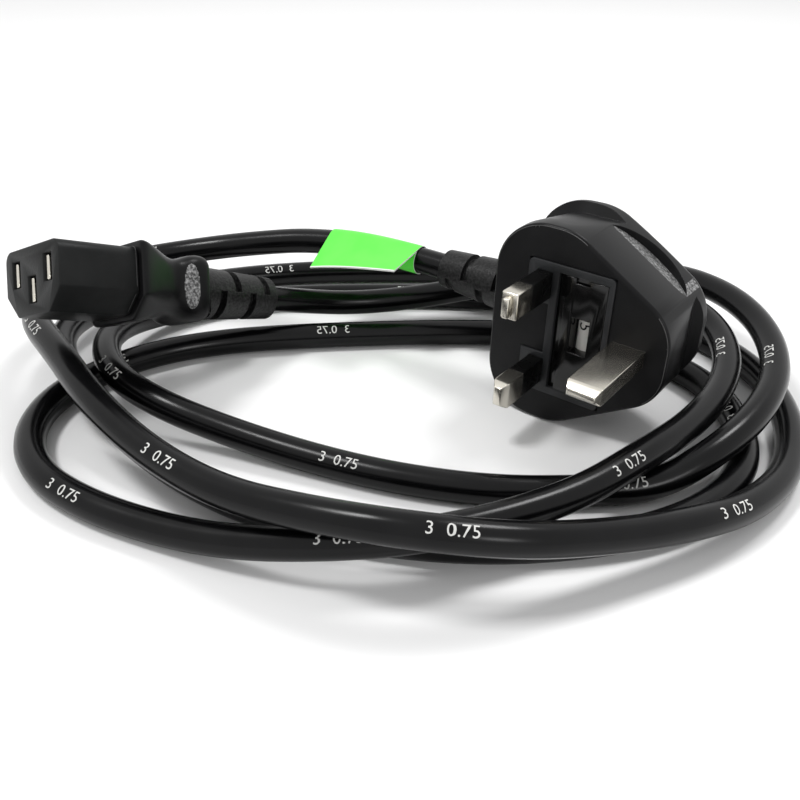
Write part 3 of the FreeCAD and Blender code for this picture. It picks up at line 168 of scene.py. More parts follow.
def moulded_plastic(
    name, dark, light, roughness, grain_mm, grain_depth_mm, specular=BLACK_SPECULAR, tint_mm=CLOUD_MM
):
    """Plastic as it leaves a mould, with a grain of a stated size and depth."""
    material, tree, shader = new_material(name)
    place = add_node(tree, "ShaderNodeTexCoord").outputs["Object"]
    broad = add_node(
        tree, "ShaderNodeTexNoise",
        {"Vector": place, "Scale": 1 / (tint_mm * MM), "Detail": CLOUD_DETAIL},
    ).outputs["Fac"]
    clouds = add_node(tree, "ShaderNodeMapRange", {"Value": broad, **CLOUD_SPREAD})
    grain = add_node(
        tree, "ShaderNodeTexNoise",
        {"Vector": place, "Scale": 1 / (grain_mm * MM), "Detail": GRAIN_DETAIL},
    )
    join_patterns(
        tree, shader, clouds.outputs["Result"], (dark, light), broad, roughness, PLASTIC_DRIFT,
        grain.outputs["Fac"], grain_depth_mm,
    )
    shader.inputs["IOR"].default_value = PLASTIC_IOR
    shader.inputs["Specular IOR Level"].default_value = specular
    return material


print("broad clouds of", CLOUD_MM, "mm unless a finish says otherwise")

# %% [markdown]
# ## The plastics of this lead
# Each call gives two colours, the roughness, and the grain's size and depth in millimetres. The soft PVC
# of the mouldings is satin, the sheath is glossier because it was extruded, and the fuse carrier came
# from a polished mould. The sandy finishes carry painted highlights: they are tinted as finely as their
# grain, and their pale specks stand for the tops of the grains catching the light.

# %% Plastics, film and ink
PAINTED_SPECK_MM = 0.6

cover_pvc = moulded_plastic("cover_soft_pvc_satin", "#0b0b0c", "#101011", 0.33, 0.45, 0.006)
face_pvc = moulded_plastic("cover_face_fine_grain", "#0f0f10", "#151516", 0.4, 0.4, 0.02)
# The pale second colour paints highlights: specks of light on the tops of the sand grains of a black
# moulding.
sandy_pvc_painted_highlights = moulded_plastic(
    "sand_grain_painted_highlights", "#070707", "#a0a0a0", 0.42, 0.45, 0.2, specular=0.7, tint_mm=PAINTED_SPECK_MM
)
# The grey second colour paints faint highlights on the tops of the sand grains.
relief_pvc_painted_highlights = moulded_plastic(
    "relief_fine_sand_painted_highlights", "#060606", "#2a2a2a", 0.4, 0.5, 0.09, specular=0.22, tint_mm=PAINTED_SPECK_MM
)
# The pale grey paints the highlight that a rounded edge catches; the bead under it stands for a real
# mould line.
rim_painted_highlight_pvc = moulded_plastic("mould_line_painted_highlight_pvc", "#3c3c3c", "#4a4a4a", 0.4, 0.5, 0.01, specular=0.6)
cord_pvc = moulded_plastic("cord_sheath_pvc", "#050506", "#0a0a0b", 0.22, 0.9, 0.003, specular=0.2)
insert_plastic = moulded_plastic(
    "plug_insert_nylon", "#212223", "#2d2e30", 0.42, 0.35, 0.015, specular=0.25
)
carrier_gloss = moulded_plastic(
    "fuse_carrier_gloss", "#060606", "#0a0a0a", 0.14, 2.0, 0.002, specular=0.4
)
nose_plastic = moulded_plastic("connector_nose_grained", "#131414", "#1b1c1c", 0.42, 0.5, 0.03)
grip_pvc = moulded_plastic("connector_grip_pvc", "#0b0b0c", "#111112", 0.34, 0.5, 0.006)
sleeve_plastic = moulded_plastic("pin_sleeve_nylon", "#080808", "#0d0d0d", 0.28, 0.6, 0.003)
fuse_ceramic = moulded_plastic(
    "fuse_ceramic_white", "#eeece6", "#f6f4ef", 0.3, 0.5, 0.003, specular=0.5
)
label_green = moulded_plastic("label_green_film", "#5fe84a", "#6cf255", 0.45, 1.2, 0.004, specular=0.4)
label_paper = moulded_plastic("label_paper_edge", "#f1f1ee", "#fafaf8", 0.7, 0.3, 0.004, specular=0.3)
print_white = moulded_plastic("print_white_ink", "#c9c9c6", "#dededb", 0.6, 0.4, 0.002, specular=0.3)
print_black = moulded_plastic("print_black_ink", "#101010", "#181818", 0.6, 0.4, 0.002, specular=0.3)
print("materials so far:", len(bpy.data.materials))

# %% [markdown]
# ## Metal
# The pins are brass with a bright nickel plate. Nickel is a warm silver, and plating over a stamped
# blank leaves fine scratches along its length, which stretch the reflections.

# %% Plated metal
SCRATCH_STRETCH = (1.0, 0.06, 1.0)
SCRATCH_DETAIL = 3.0
TARNISH_MM = 4.0
TARNISH_DETAIL = 2.0
METAL_DRIFT = 0.05


def plated_metal(name, dark, light, roughness, scratch_mm, scratch_depth_mm):
    """Metal with fine scratches along the pins' direction."""
    material, tree, shader = new_material(name)
    place = add_node(tree, "ShaderNodeTexCoord").outputs["Object"]
    stretch = add_node(tree, "ShaderNodeMapping", {"Vector": place, "Scale": SCRATCH_STRETCH})
    lines = add_node(
        tree, "ShaderNodeTexNoise",
        {"Vector": stretch.outputs["Vector"], "Scale": 1 / (scratch_mm * MM), "Detail": SCRATCH_DETAIL},
    ).outputs["Fac"]
    tarnish = add_node(
        tree, "ShaderNodeTexNoise",
        {"Vector": place, "Scale": 1 / (TARNISH_MM * MM), "Detail": TARNISH_DETAIL},
    )
    join_patterns(
        tree, shader, tarnish.outputs["Fac"], (dark, light), lines, roughness, METAL_DRIFT,
        lines, scratch_depth_mm,
    )
    shader.inputs["Metallic"].default_value = 1.0
    return material


nickel = plated_metal("bright_nickel_plate", "#cdc8bd", "#ddd9ce", 0.22, 0.25, 0.0006)
brass = plated_metal("plain_brass_strip", "#b08a45", "#c9a45c", 0.32, 0.25, 0.001)
print("metals:", nickel.name, "and", brass.name)

# %% [markdown]
# ## A finish for every CAD piece
# Some of these pieces are replaced by smoother ones further on, and some are never seen, but a reusable
# part is looked at from all sides and taken apart, so each has the finish of the real one. The wires
# have the colours of their cores: blue for neutral, brown for line, green with yellow for earth.

# %% Finishes
FINISHES = {
    "plug_cover": cover_pvc, "plug_bridge": insert_plastic, "bridge_back": insert_plastic,
    "fuse_carrier": carrier_gloss, "fuse_tube": fuse_ceramic, "fuse_cap_line": nickel,
    "fuse_cap_load": nickel, "fuse_wire": brass, "line_pin": nickel, "neutral_pin": nickel,
    "earth_pin": nickel, "line_sleeve": sleeve_plastic, "neutral_sleeve": sleeve_plastic,
    "line_clip": brass, "load_clip": brass, "cord": cord_pvc, "cord_label": label_green,
    "connector_insert": nose_plastic, "connector_grip": grip_pvc, "contact_line": nickel,
    "contact_neutral": nickel, "contact_earth": nickel,
}
WIRE_COLOURS = {
    "neutral": ("#1f4e9e", "#2558ad"), "line": ("#5b3a22", "#664228"), "earth": ("#4f8f2a", "#c9c23a"),
}
for core, (dark, light) in WIRE_COLOURS.items():
    insulation = moulded_plastic(core + "_wire_insulation", dark, light, 0.4, 0.5, 0.004)
    for end in ("plug_wire_", "connector_wire_"):
        FINISHES[end + core] = insulation


def give_finish(item, material):
    """Replaces all of a piece's materials by one."""
    item.data.materials.clear()
    item.data.materials.append(material)


for name, item in frame["nodes"].items():
    give_finish(item, FINISHES[name])
print(len(FINISHES), "CAD pieces have a finish")

# %% [markdown]
# ## The cord's route
# Flexible cord can't bend sharply, so its middle line is one smooth curve. The CAD model holds a route
# of straight runs and arcs, and here the corners of that route, in millimetres, steer a NURBS curve,
# which rounds them as the sheath would. They run from the plug's strain relief to the connector's.

# %% Route
CORD_POINTS = [
    # Out of the plug's relief, to the left and round to the front.
    (-33.8, 12.85, 25.0), (-55.8, 12.85, 24.9), (-77.8, 8.2, 23.3), (-92.8, 1.2, 20.6),
    (-106.3, -5.8, 17.6), (-118.8, -19.0, 15.5), (-123.6, -36.6, 15.5), (-118.3, -54.6, 17.0),
    (-103.3, -67.6, 18.5), (-83.8, -73.6, 18.5), (-62.8, -80.6, 17.0), (-41.8, -83.6, 14.5),
    (-20.8, -83.6, 14.0), (-0.8, -80.6, 17.0), (18.2, -74.6, 19.0), (33.2, -62.6, 16.5),
    (43.2, -46.6, 12.0), (53.4, -29.6, 9.0), (60.2, -11.6, 5.8), (62.2, 9.4, 3.6),
    # Behind the plug on the floor, outermost.
    (56.2, 30.4, 3.5), (44.2, 48.4, 3.5), (27.2, 59.4, 3.5), (6.2, 62.4, 3.5),
    (-14.8, 57.4, 3.5), (-34.8, 46.4, 3.5), (-54.8, 33.4, 3.5), (-72.8, 18.4, 3.5),
    (-88.8, 3.4, 3.5), (-99.8, -12.6, 4.0), (-103.6, -28.4, 5.5),
    # Second turn, in front and up behind the plug.
    (-100.8, -43.6, 8.6), (-91.8, -56.4, 11.3), (-77.8, -64.4, 11.1), (-61.8, -64.8, 9.2),
    (-43.8, -58.6, 5.2), (-22.8, -52.6, 3.5), (-3.8, -46.6, 3.5), (14.2, -37.6, 3.5),
    (29.2, -25.6, 3.5), (41.2, -15.1, 4.2), (48.8, -1.6, 9.8), (51.7, 16.4, 12.6),
    (49.2, 35.4, 14.0), (40.2, 52.4, 15.5), (26.2, 65.4, 16.0), (8.2, 74.4, 14.0),
    (-13.8, 76.4, 9.0), (-36.8, 68.4, 4.5), (-58.8, 53.4, 3.5), (-78.8, 37.4, 3.5),
    (-97.8, 19.4, 3.5), (-111.8, -0.6, 3.6), (-117.8, -22.6, 5.0), (-115.8, -43.6, 8.0),
    # Third turn.
    (-104.8, -60.6, 10.9), (-86.8, -70.6, 11.2), (-66.8, -75.6, 9.0), (-47.8, -76.6, 5.0),
    (-28.8, -75.6, 3.5), (-10.8, -71.6, 3.5), (6.2, -64.6, 3.5), (22.2, -54.6, 3.5),
    (35.2, -42.6, 3.5), (45.8, -29.6, 3.5), (53.2, -12.6, 3.5), (53.5, 6.4, 3.5),
    (46.2, 22.4, 3.5), (35.2, 34.4, 3.5), (20.2, 40.4, 3.5), (3.2, 39.4, 3.5),
    (-13.8, 33.4, 3.5), (-29.8, 22.4, 3.5), (-46.8, 7.4, 3.5), (-63.8, -8.6, 3.5),
    (-78.8, -24.6, 3.5), (-88.8, -40.6, 3.5),
    # Fourth turn, round in front and between the plug and the outer strands.
    (-92.8, -57.6, 3.5), (-90.8, -73.6, 3.5), (-82.1, -86.6, 3.5), (-67.8, -94.2, 3.5),
    (-50.8, -94.6, 3.5), (-32.8, -90.6, 3.5), (-15.8, -85.6, 5.5), (1.2, -78.6, 9.6),
    (15.2, -67.6, 11.3), (25.2, -52.6, 11.3), (33.2, -35.6, 11.4), (37.7, -17.1, 12.2),
    (40.7, 2.4, 11.2), (40.7, 21.4, 11.5), (36.2, 38.4, 12.5), (26.2, 52.4, 13.0),
    (11.2, 60.4, 13.0), (-6.8, 60.4, 12.0), (-23.8, 51.4, 11.2), (-36.8, 37.4, 10.5),
    # Under the label's strand and into the connector's relief.
    (-49.8, 23.4, 8.0), (-62.3, 10.4, 7.0), (-70.7, -2.5, 9.6), (-73.1, -17.3, 15.3),
]
print(len(CORD_POINTS), "corners in the cord's route")

# %% [markdown]
# ## The cord
# A curve object with a bevel is a tube of even thickness, whatever its route, which is what an extruded
# sheath is. Its order is set after its points, because before them it would be lowered again.

# %% Cord
CORD_RADIUS = 3.5 * MM

cord_curve = bpy.data.curves.new("mains_cord", "CURVE")
cord_curve.dimensions = "3D"
spline = cord_curve.splines.new("NURBS")
spline.points.add(len(CORD_POINTS) - 1)
for point, place in zip(spline.points, CORD_POINTS):
    point.co = (*(Vector(place) * MM), 1.0)
spline.order_u = 3
spline.use_endpoint_u = True
spline.resolution_u = 8
cord_curve.bevel_depth = CORD_RADIUS
cord_curve.bevel_resolution = 6
cord_curve.use_fill_caps = True
cord = bpy.data.objects.new("mains_cord", cord_curve)
bpy.context.scene.collection.objects.link(cord)
give_finish(cord, cord_pvc)
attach(cord, "lead")
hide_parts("cord")
print("cord: %.1f mm thick" % (2 * CORD_RADIUS / MM))

# %% [markdown]
# ## Places along the cord
# The label and the print sit on the cord, so they need to know where it runs. A copy of the curve with
# no thickness gives its smooth points, and adding up the steps between them gives the way travelled
# from the plug.

# %% Distances


def middle_line(curve):
    """The smooth points of a curve, read from a copy with no thickness."""
    bare = curve.copy()
    bare.bevel_depth = 0
    stand_in = bpy.data.objects.new("bare_line", bare)
    mesh = bpy.data.meshes.new_from_object(stand_in)
    points = [v.co.copy() for v in mesh.vertices]
    bpy.data.objects.remove(stand_in)
    bpy.data.curves.remove(bare)
    bpy.data.meshes.remove(mesh)
    return points


cord_line = middle_line(cord_curve)
travelled = [0.0]
for a, b in zip(cord_line, cord_line[1:]):
    travelled.append(travelled[-1] + (b - a).length)
cord_length = travelled[-1]


def along_the_cord(distance):
    """The middle line's point and direction at a distance from the plug."""
    index = next(i for i, reached in enumerate(travelled) if reached > distance)
    a, b = cord_line[index - 1], cord_line[index]
    share = (distance - travelled[index - 1]) / (travelled[index] - travelled[index - 1])
    return a.lerp(b, share), (b - a).normalized()


print("cord: %d points, %.3f m long" % (len(cord_line), cord_length))

# %% [markdown]
# ## The flag label
# A strip of green film is wrapped right round the cord, and its two ends are pressed together so that
# they stand out from the cord's top as a flag. It sits on the first bend outside the plug, and leans
# more towards its far end, where its free edge is a little shorter than its fold.

# %% Measures of the label
LABEL_LENGTH = 28.6 * MM
LABEL_FLAG = 12.8 * MM
LABEL_FILM = 0.2 * MM
SHEETS_APART = 1.2 * LABEL_FILM
LABEL_LOOP = CORD_RADIUS + 0.25 * MM
LABEL_WRAP = math.radians(338)
LABEL_LEANS = math.radians(10.0), math.radians(29.0)
LABEL_TAPER = 0.045

first, second, third = (Vector(p) * MM for p in CORD_POINTS[:3])
label_middle = (first + second * 2 + third) / 4
label_heading = (third - first).normalized()
label_place = travelled[min(range(len(cord_line)), key=lambda i: (cord_line[i] - label_middle).length)]
label_level = label_heading.cross(Vector((0, 0, -1))).normalized()
label_up = label_heading.cross(label_level)
lower_sheet = LABEL_FLAG + LABEL_LOOP * math.sin(2 * math.pi - LABEL_WRAP)
strip = LABEL_FLAG + LABEL_LOOP * LABEL_WRAP + lower_sheet
print("label strip: %.1f mm long" % (strip / MM))

# %% [markdown]
# ## Wrapping the strip
# A flat grid with the strip's real length makes the label. Each row of points is carried in along the
# upper sheet, round the cord and out again along the lower sheet. Solidify then gives the film its
# thickness, with its cut edges in the white of the backing.

# %% Flag label
LABEL_STEPS = 120
LABEL_ROWS = 29
FILM_SMOOTH = math.radians(40)


def on_the_label(along, distance):
    """A point of the strip in the world, from its place along the cord and along the strip."""
    lean = LABEL_LEANS[0] + (LABEL_LEANS[1] - LABEL_LEANS[0]) * (along + 0.5)
    away = Vector((math.cos(lean), -math.sin(lean)))
    top = Vector((math.sin(lean), math.cos(lean)))
    wrapped = (distance - LABEL_FLAG) / LABEL_LOOP
    start = math.pi / 2 - lean
    if wrapped < 0:
        across = top * LABEL_LOOP + away * (LABEL_FLAG - distance)
    elif wrapped < LABEL_WRAP:
        across = Vector((math.cos(start + wrapped), math.sin(start + wrapped))) * LABEL_LOOP
    else:
        last = start + LABEL_WRAP
        tip = top * (LABEL_LOOP - SHEETS_APART) + away * LABEL_FLAG
        share = (wrapped - LABEL_WRAP) * LABEL_LOOP / lower_sheet
        across = (Vector((math.cos(last), math.sin(last))) * LABEL_LOOP).lerp(tip, share)
    length = LABEL_LENGTH * (1 - LABEL_TAPER * max(across.x, 0) / LABEL_FLAG)
    shift = label_heading * along * (length - LABEL_LENGTH)
    middle = along_the_cord(label_place + along * LABEL_LENGTH)[0] + shift
    return middle + label_level * across.x + label_up * across.y


bpy.ops.object.select_all(action="DESELECT")
bpy.ops.mesh.primitive_grid_add(x_subdivisions=LABEL_STEPS, y_subdivisions=LABEL_ROWS - 1, size=1)
label = bpy.context.object
label.name = "flag_label"
for vertex in label.data.vertices:
    vertex.co = on_the_label(vertex.co.y, (vertex.co.x + 0.5) * strip)
bpy.ops.object.mode_set(mode="EDIT")
bpy.ops.mesh.select_all(action="SELECT")
bpy.ops.mesh.normals_make_consistent(inside=False)
bpy.ops.object.mode_set(mode="OBJECT")
give_finish(label, label_green)
label.data.materials.append(label_paper)
for face in label.data.polygons:
    face.material_index = int(face.index % LABEL_STEPS == 0)
film = label.modifiers.new("film", "SOLIDIFY")
film.thickness = LABEL_FILM
film.offset = 0
film.material_offset_rim = 1
bpy.ops.object.modifier_apply(modifier=film.name)
bpy.ops.object.shade_smooth_by_angle(angle=FILM_SMOOTH)
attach(label, "lead")
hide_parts("cord_label")
print("label:", len(label.data.polygons), "faces")

# %% [markdown]
# ## Skins for the rigid pieces
# The CAD model's pieces have the right shape, but each is one colour and its moulded edges are sharp.
# A copy of such a piece is merged into one skin, so that light runs smoothly over it, and its faces can
# then be sorted by place. Where all faces are flat, a real bevel rounds the edges.

# %% One skin from a CAD piece
MERGE_WITHIN = 0.002 * MM
FLAT_WITHIN = math.radians(0.5)
SHARP_EDGE = math.radians(40)
SKIN_SMOOTH = math.radians(32)


def pick(piece):
    """Selects one piece alone, because an operator acts on all that is selected."""
    bpy.ops.object.select_all(action="DESELECT")
    piece.select_set(True)
    bpy.context.view_layer.objects.active = piece


def round_edges(piece, width, segments, sharper_than):
    """Bevels the active piece's edges that turn by more than an angle."""
    rounding = piece.modifiers.new("rounding", "BEVEL")
    rounding.width = width
    rounding.segments = segments
    rounding.angle_limit = sharper_than
    bpy.ops.object.modifier_apply(modifier=rounding.name)


def piece_body(node):
    """The body that a CAD node belongs to."""
    bodies = frame["record"]["behaviour"]["bodies"]
    return next(body for body, members in bodies.items() if node in members)


def skin(node, name, edge=0.0):
    """A merged copy of a CAD piece that stands for it, with its edges rounded if asked."""
    piece = bpy.data.objects.new(name, frame["nodes"][node].data.copy())
    bpy.context.scene.collection.objects.link(piece)
    pick(piece)
    bpy.ops.object.mode_set(mode="EDIT")
    bpy.ops.mesh.customdata_custom_splitnormals_clear()
    bpy.ops.mesh.select_all(action="SELECT")
    bpy.ops.mesh.remove_doubles(threshold=MERGE_WITHIN)
    bpy.ops.mesh.normals_make_consistent(inside=False)
    if edge:
        bpy.ops.mesh.dissolve_limited(angle_limit=FLAT_WITHIN)
    bpy.ops.object.mode_set(mode="OBJECT")
    if edge:
        round_edges(piece, edge, 2, SHARP_EDGE)
    bpy.ops.object.shade_smooth_by_angle(angle=SKIN_SMOOTH)
    give_finish(piece, FINISHES[node])
    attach(piece, piece_body(node))
    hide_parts(node)
    print(name, len(piece.data.polygons), "faces")
    return piece


def finish_faces(piece, material, belongs):
    """Gives a second finish to the faces whose middle and direction pass a test."""
    piece.data.materials.append(material)
    slot = len(piece.data.materials) - 1
    chosen = [face for face in piece.data.polygons if belongs(face.center, face.normal)]
    for face in chosen:
        face.material_index = slot
    print(piece.name, len(chosen), "faces in", material.name)


# %% [markdown]
# ## The cover
# The plug's cover is one moulding with three kinds of surface. Most of it is satin, the engagement face
# has a fine grain, and the finger scoops and the slotted relief are sandy, for the hand that pulls the
# plug out. The slanted sides carry the scoops, so a place is measured along a side and away from it, in
# millimetres from the middle of the small pins' line.

# %% Cover
PLUG_SEAT = Vector((2.2, -1.65, 25.0)) * MM
HALF_HEIGHT = 25.0
SIDE_EARTH = 31.6
SLANT_START, SLANT_END = 6.1, 9.3
SLANT = math.atan2(HALF_HEIGHT - SLANT_END, SIDE_EARTH - SLANT_START)
SLANT_AWAY = SLANT_START * math.sin(SLANT) + HALF_HEIGHT * math.cos(SLANT)
RELIEF_START = -13.4
FACE_BAND = 0.3
SCOOP_DEPTH = 12.9, 20.8
SCOOP_ALONG = -4.4, 18.6
SCOOP_AWAY = 20.0, SLANT_AWAY - 0.03
LOOKS_OUT = 0.9


def on_relief(middle, normal):
    """True for the strain relief, beyond the wall where the cord leaves."""
    return (middle - PLUG_SEAT).x < RELIEF_START * MM


def on_face(middle, normal):
    """True for the engagement face."""
    return normal.y < -LOOKS_OUT and abs((middle - PLUG_SEAT).y) < FACE_BAND * MM


def in_scoop(middle, normal):
    """True for the floor of a finger scoop."""
    place = (middle - PLUG_SEAT) / MM
    away = place.x * math.sin(SLANT) + abs(place.z) * math.cos(SLANT)
    along = place.x * math.cos(SLANT) - abs(place.z) * math.sin(SLANT)
    outwards = normal.x * math.sin(SLANT) + math.copysign(normal.z, place.z * normal.z) * math.cos(SLANT)
    measures = ((place.y, SCOOP_DEPTH), (along, SCOOP_ALONG), (away, SCOOP_AWAY))
    return outwards > LOOKS_OUT and all(least < value < most for value, (least, most) in measures)


cover = skin("plug_cover", "cover_moulding")
# The relief's sand carries painted highlights as grey specks.
finish_faces(cover, relief_pvc_painted_highlights, on_relief)
finish_faces(cover, face_pvc, on_face)
# The scoops' sand carries painted highlights as pale specks.
finish_faces(cover, sandy_pvc_painted_highlights, in_scoop)

# %% [markdown]
# ## Mould line
# Where the two halves of the cover's mould met, a fine line runs round the face. Its edges are taken
# from the skin, made into a curve and given a round section a fifth of a millimetre thick, in a pale
# grey that paints the highlight which the face's rounded edge catches. The edges round the insert and
# the earth pin are left out, because another piece fills those openings.

# %% Mould line
RIM_HALF = 0.09 * MM
OPENINGS_FROM, OPENINGS_TO = -6.0, 27.5
OPENINGS_HALF = 17.4


def on_outline(point):
    """True outside the openings for the insert and the earth pin."""
    place = (point - PLUG_SEAT) / MM
    return place.x < OPENINGS_FROM or place.x > OPENINGS_TO or abs(place.z) > OPENINGS_HALF


def bead(piece, half):
    """Gives a row of edges a round section, as a mould line has, in the pale grey of a painted highlight.
    """
    pick(piece)
    bpy.ops.object.convert(target="CURVE")
    piece.data.bevel_depth = half
    piece.data.bevel_resolution = 1
    bpy.ops.object.convert(target="MESH")
    # Every bead takes that pale grey of a painted highlight.
    give_finish(piece, rim_painted_highlight_pvc)
    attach(piece, "lead")


face_slot = cover.data.materials.find(face_pvc.name)
skin_mesh = bmesh.new()
skin_mesh.from_mesh(cover.data)
rim_edges = [
    edge for edge in skin_mesh.edges
    if len({face.material_index == face_slot for face in edge.link_faces}) == 2
    and all(on_outline(vertex.co) for vertex in edge.verts)
]
rim_points = {vertex: index for index, vertex in enumerate({v for e in rim_edges for v in e.verts})}
rim_mesh = bpy.data.meshes.new("mould_line_painted_highlight")
rim_mesh.from_pydata(
    [vertex.co for vertex in rim_points], [[rim_points[v] for v in edge.verts] for edge in rim_edges], []
)
skin_mesh.free()
rim = bpy.data.objects.new("mould_line_painted_highlight", rim_mesh)
bpy.context.scene.collection.objects.link(rim)
bead(rim, RIM_HALF)
print("mould line:", len(rim_edges), "edges")

# %% [markdown]
# ## Insert, carrier and sleeves
# The insert, the fuse carrier and the sleeves of the small pins are hard plastic with crisp edges. Even
# crisp edges are round by a tenth of a millimetre or two, and that thin round is what draws them
# in the light.

# %% Insert, carrier and sleeves
CRISP_EDGE = 0.12 * MM
SLEEVE_EDGE = 0.25 * MM

bridge = skin("plug_bridge", "insert_moulding", CRISP_EDGE)
carrier = skin("fuse_carrier", "carrier_moulding", CRISP_EDGE)
for side in ("line", "neutral"):
    sleeve = skin(side + "_sleeve", side + "_pin_sleeve", SLEEVE_EDGE)

# %% [markdown]
# ## Numbers
# The fuse and the sheath are printed, and plain numbers stand for that print. Text is turned into a flat
# mesh, and every point of it is then carried onto the round surface that it is printed on. It is divided
# first, because a long flat face would cut into that surface. On the fuse it reads along the tube.

# %% Number on the fuse
FUSE_MIDDLE = Vector((10.2, 5.4, 2.0))
FUSE_RADIUS = 2.9
FUSE_PRINT_SIZE = 4.4
PRINT_LIFT = 0.03


def flat_number(body, size, name):
    """A number as a flat mesh round the origin, with its size in millimetres."""
    bpy.ops.object.select_all(action="DESELECT")
    bpy.ops.object.text_add()
    number = bpy.context.object
    number.name = name
    number.data.body = body
    number.data.size = size * MM
    number.data.align_x = "CENTER"
    number.data.align_y = "CENTER"
    number.data.resolution_u = 3
    bpy.ops.object.convert(target="MESH")
    bpy.ops.object.mode_set(mode="EDIT")
    bpy.ops.mesh.select_all(action="SELECT")
    bpy.ops.mesh.subdivide(number_cuts=2)
    bpy.ops.object.mode_set(mode="OBJECT")
    return bpy.context.object


fuse_number = flat_number("5", FUSE_PRINT_SIZE, "fuse_number")
for vertex in fuse_number.data.vertices:
    aside = vertex.co.y / MM
    depth = FUSE_MIDDLE.y - math.sqrt((FUSE_RADIUS + PRINT_LIFT) ** 2 - aside**2)
    vertex.co = PLUG_SEAT + Vector((FUSE_MIDDLE.x + aside, depth, FUSE_MIDDLE.z - vertex.co.x / MM)) * MM
give_finish(fuse_number, print_black)
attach(fuse_number, "fuse_drawer")
print("fuse number:", len(fuse_number.data.polygons), "faces")

# %% [markdown]
# ## Print on the sheath
# A sheath is printed as it is extruded, so the same words come again and again at an even pitch, and
# they keep to one side of the cord. Here the numbers follow the cord's own line and lie a little above
# its front, turned towards the viewer. They are joined, because one print head made them all.

# %% Print on the sheath
PRINT_START = 96 * MM
PRINT_PITCH = 62 * MM
PRINT_SIZE = 3.4
PRINT_SPIN = math.radians(38)

prints = []
distance = PRINT_START
while distance < cord_length - PRINT_START:
    number = flat_number("3  0.75", PRINT_SIZE, "sheath_number")
    for vertex in number.data.vertices:
        middle, heading = along_the_cord(distance + vertex.co.x)
        aside = heading.cross(Vector((0, 0, 1))).normalized()
        above = aside.cross(heading)
        towards = aside if aside.y < 0 else -aside
        angle = PRINT_SPIN - vertex.co.y / CORD_RADIUS
        way = above * math.cos(angle) + towards * math.sin(angle)
        vertex.co = middle + way * (CORD_RADIUS + PRINT_LIFT * MM)
    prints.append(number)
    distance += PRINT_PITCH
print(len(prints), "numbers on the sheath")
for number in prints:
    number.select_set(True)
bpy.ops.object.join()
sheath_print = bpy.context.object
sheath_print.name = "sheath_print"
give_finish(sheath_print, print_white)
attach(sheath_print, "lead")

# %% [markdown]
# ## Pins
# Each pin is a stamped and plated brass blade with a sloping tip. A cube is stretched to the blade, what
# is selected is pushed forwards and made smaller for the tip, and the edges get a rounding that catches
# the light as tumbled metal does. The small pins start where their sleeves end, and the earth pin starts
# inside the insert. Lengths are millimetres in front of the engagement face.
#
# This cell has a fault to learn from. A new cube is selected all over, and it isn't deselected in edit
# mode before the front face is chosen. So the tip of the first pin is a smaller copy of its whole blade,
# and the other two keep a face inside. Selecting by face and deselecting all of it first would cure that.

# %% Pins
PIN_PITCH = 22.2
PIN_THICK = 4.0
SMALL_WIDE, EARTH_WIDE = 6.35, 8.0
SMALL_LENGTH, EARTH_LENGTH = 17.7, 22.7
SLEEVE_LENGTH = 9.3
EARTH_ROOT = -4.4
TIP_LENGTH = 1.8
TIP_THIN, TIP_NARROW = 1.25, 0.8
PIN_EDGE = 0.35 * MM
PIN_SHARP = math.radians(20)
METAL_SMOOTH = math.radians(50)
FORWARDS = Vector((0, -1, 0))


def pin(name, node, middle, size, rear, length, less):
    """A blade that runs forwards, with a tip that is less wide and less thick."""
    front = length - TIP_LENGTH
    bpy.ops.object.select_all(action="DESELECT")
    place = PLUG_SEAT + Vector((middle[0], -(front + rear) / 2, middle[1])) * MM
    bpy.ops.mesh.primitive_cube_add(size=1, location=place)
    piece = bpy.context.object
    piece.name = name
    piece.scale = Vector((size[0], front - rear, size[1])) * MM
    bpy.ops.object.transform_apply(location=True, rotation=True, scale=True)
    for face in piece.data.polygons:
        face.select = face.normal.dot(FORWARDS) > LOOKS_OUT
    bpy.ops.object.mode_set(mode="EDIT")
    bpy.ops.mesh.select_mode(type="FACE")
    bpy.ops.mesh.extrude_region_move(TRANSFORM_OT_translate={"value": tuple(FORWARDS * TIP_LENGTH * MM)})
    bpy.ops.transform.resize(value=(1 - 2 * less[0] / size[0], 1, 1 - 2 * less[1] / size[1]))
    bpy.ops.object.mode_set(mode="OBJECT")
    round_edges(piece, PIN_EDGE, 4, PIN_SHARP)
    bpy.ops.object.shade_smooth_by_angle(angle=METAL_SMOOTH)
    give_finish(piece, nickel)
    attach(piece, "lead")
    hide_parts(node)
    print(name, len(piece.data.polygons), "faces")


for side, height in (("line", PIN_PITCH / 2), ("neutral", -PIN_PITCH / 2)):
    pin(
        side + "_blade", side + "_pin", (0, height), (PIN_THICK, SMALL_WIDE), SLEEVE_LENGTH,
        SMALL_LENGTH, (TIP_THIN, TIP_NARROW),
    )
pin(
    "earth_blade", "earth_pin", (PIN_PITCH, 0), (EARTH_WIDE, PIN_THICK), EARTH_ROOT, EARTH_LENGTH,
    (TIP_NARROW, TIP_THIN),
)

# %% [markdown]
# ## Connector
# The connector's nose is a hard plastic insert with a fine grain, and the strain relief behind its
# collar is sandy like the plug's. The connector lies tilted on the cord, so its own width, depth and
# height are turned by the same three angles as in the CAD model. Of the CAD grip only the relief is
# kept, because the next cells make the rest rounder.

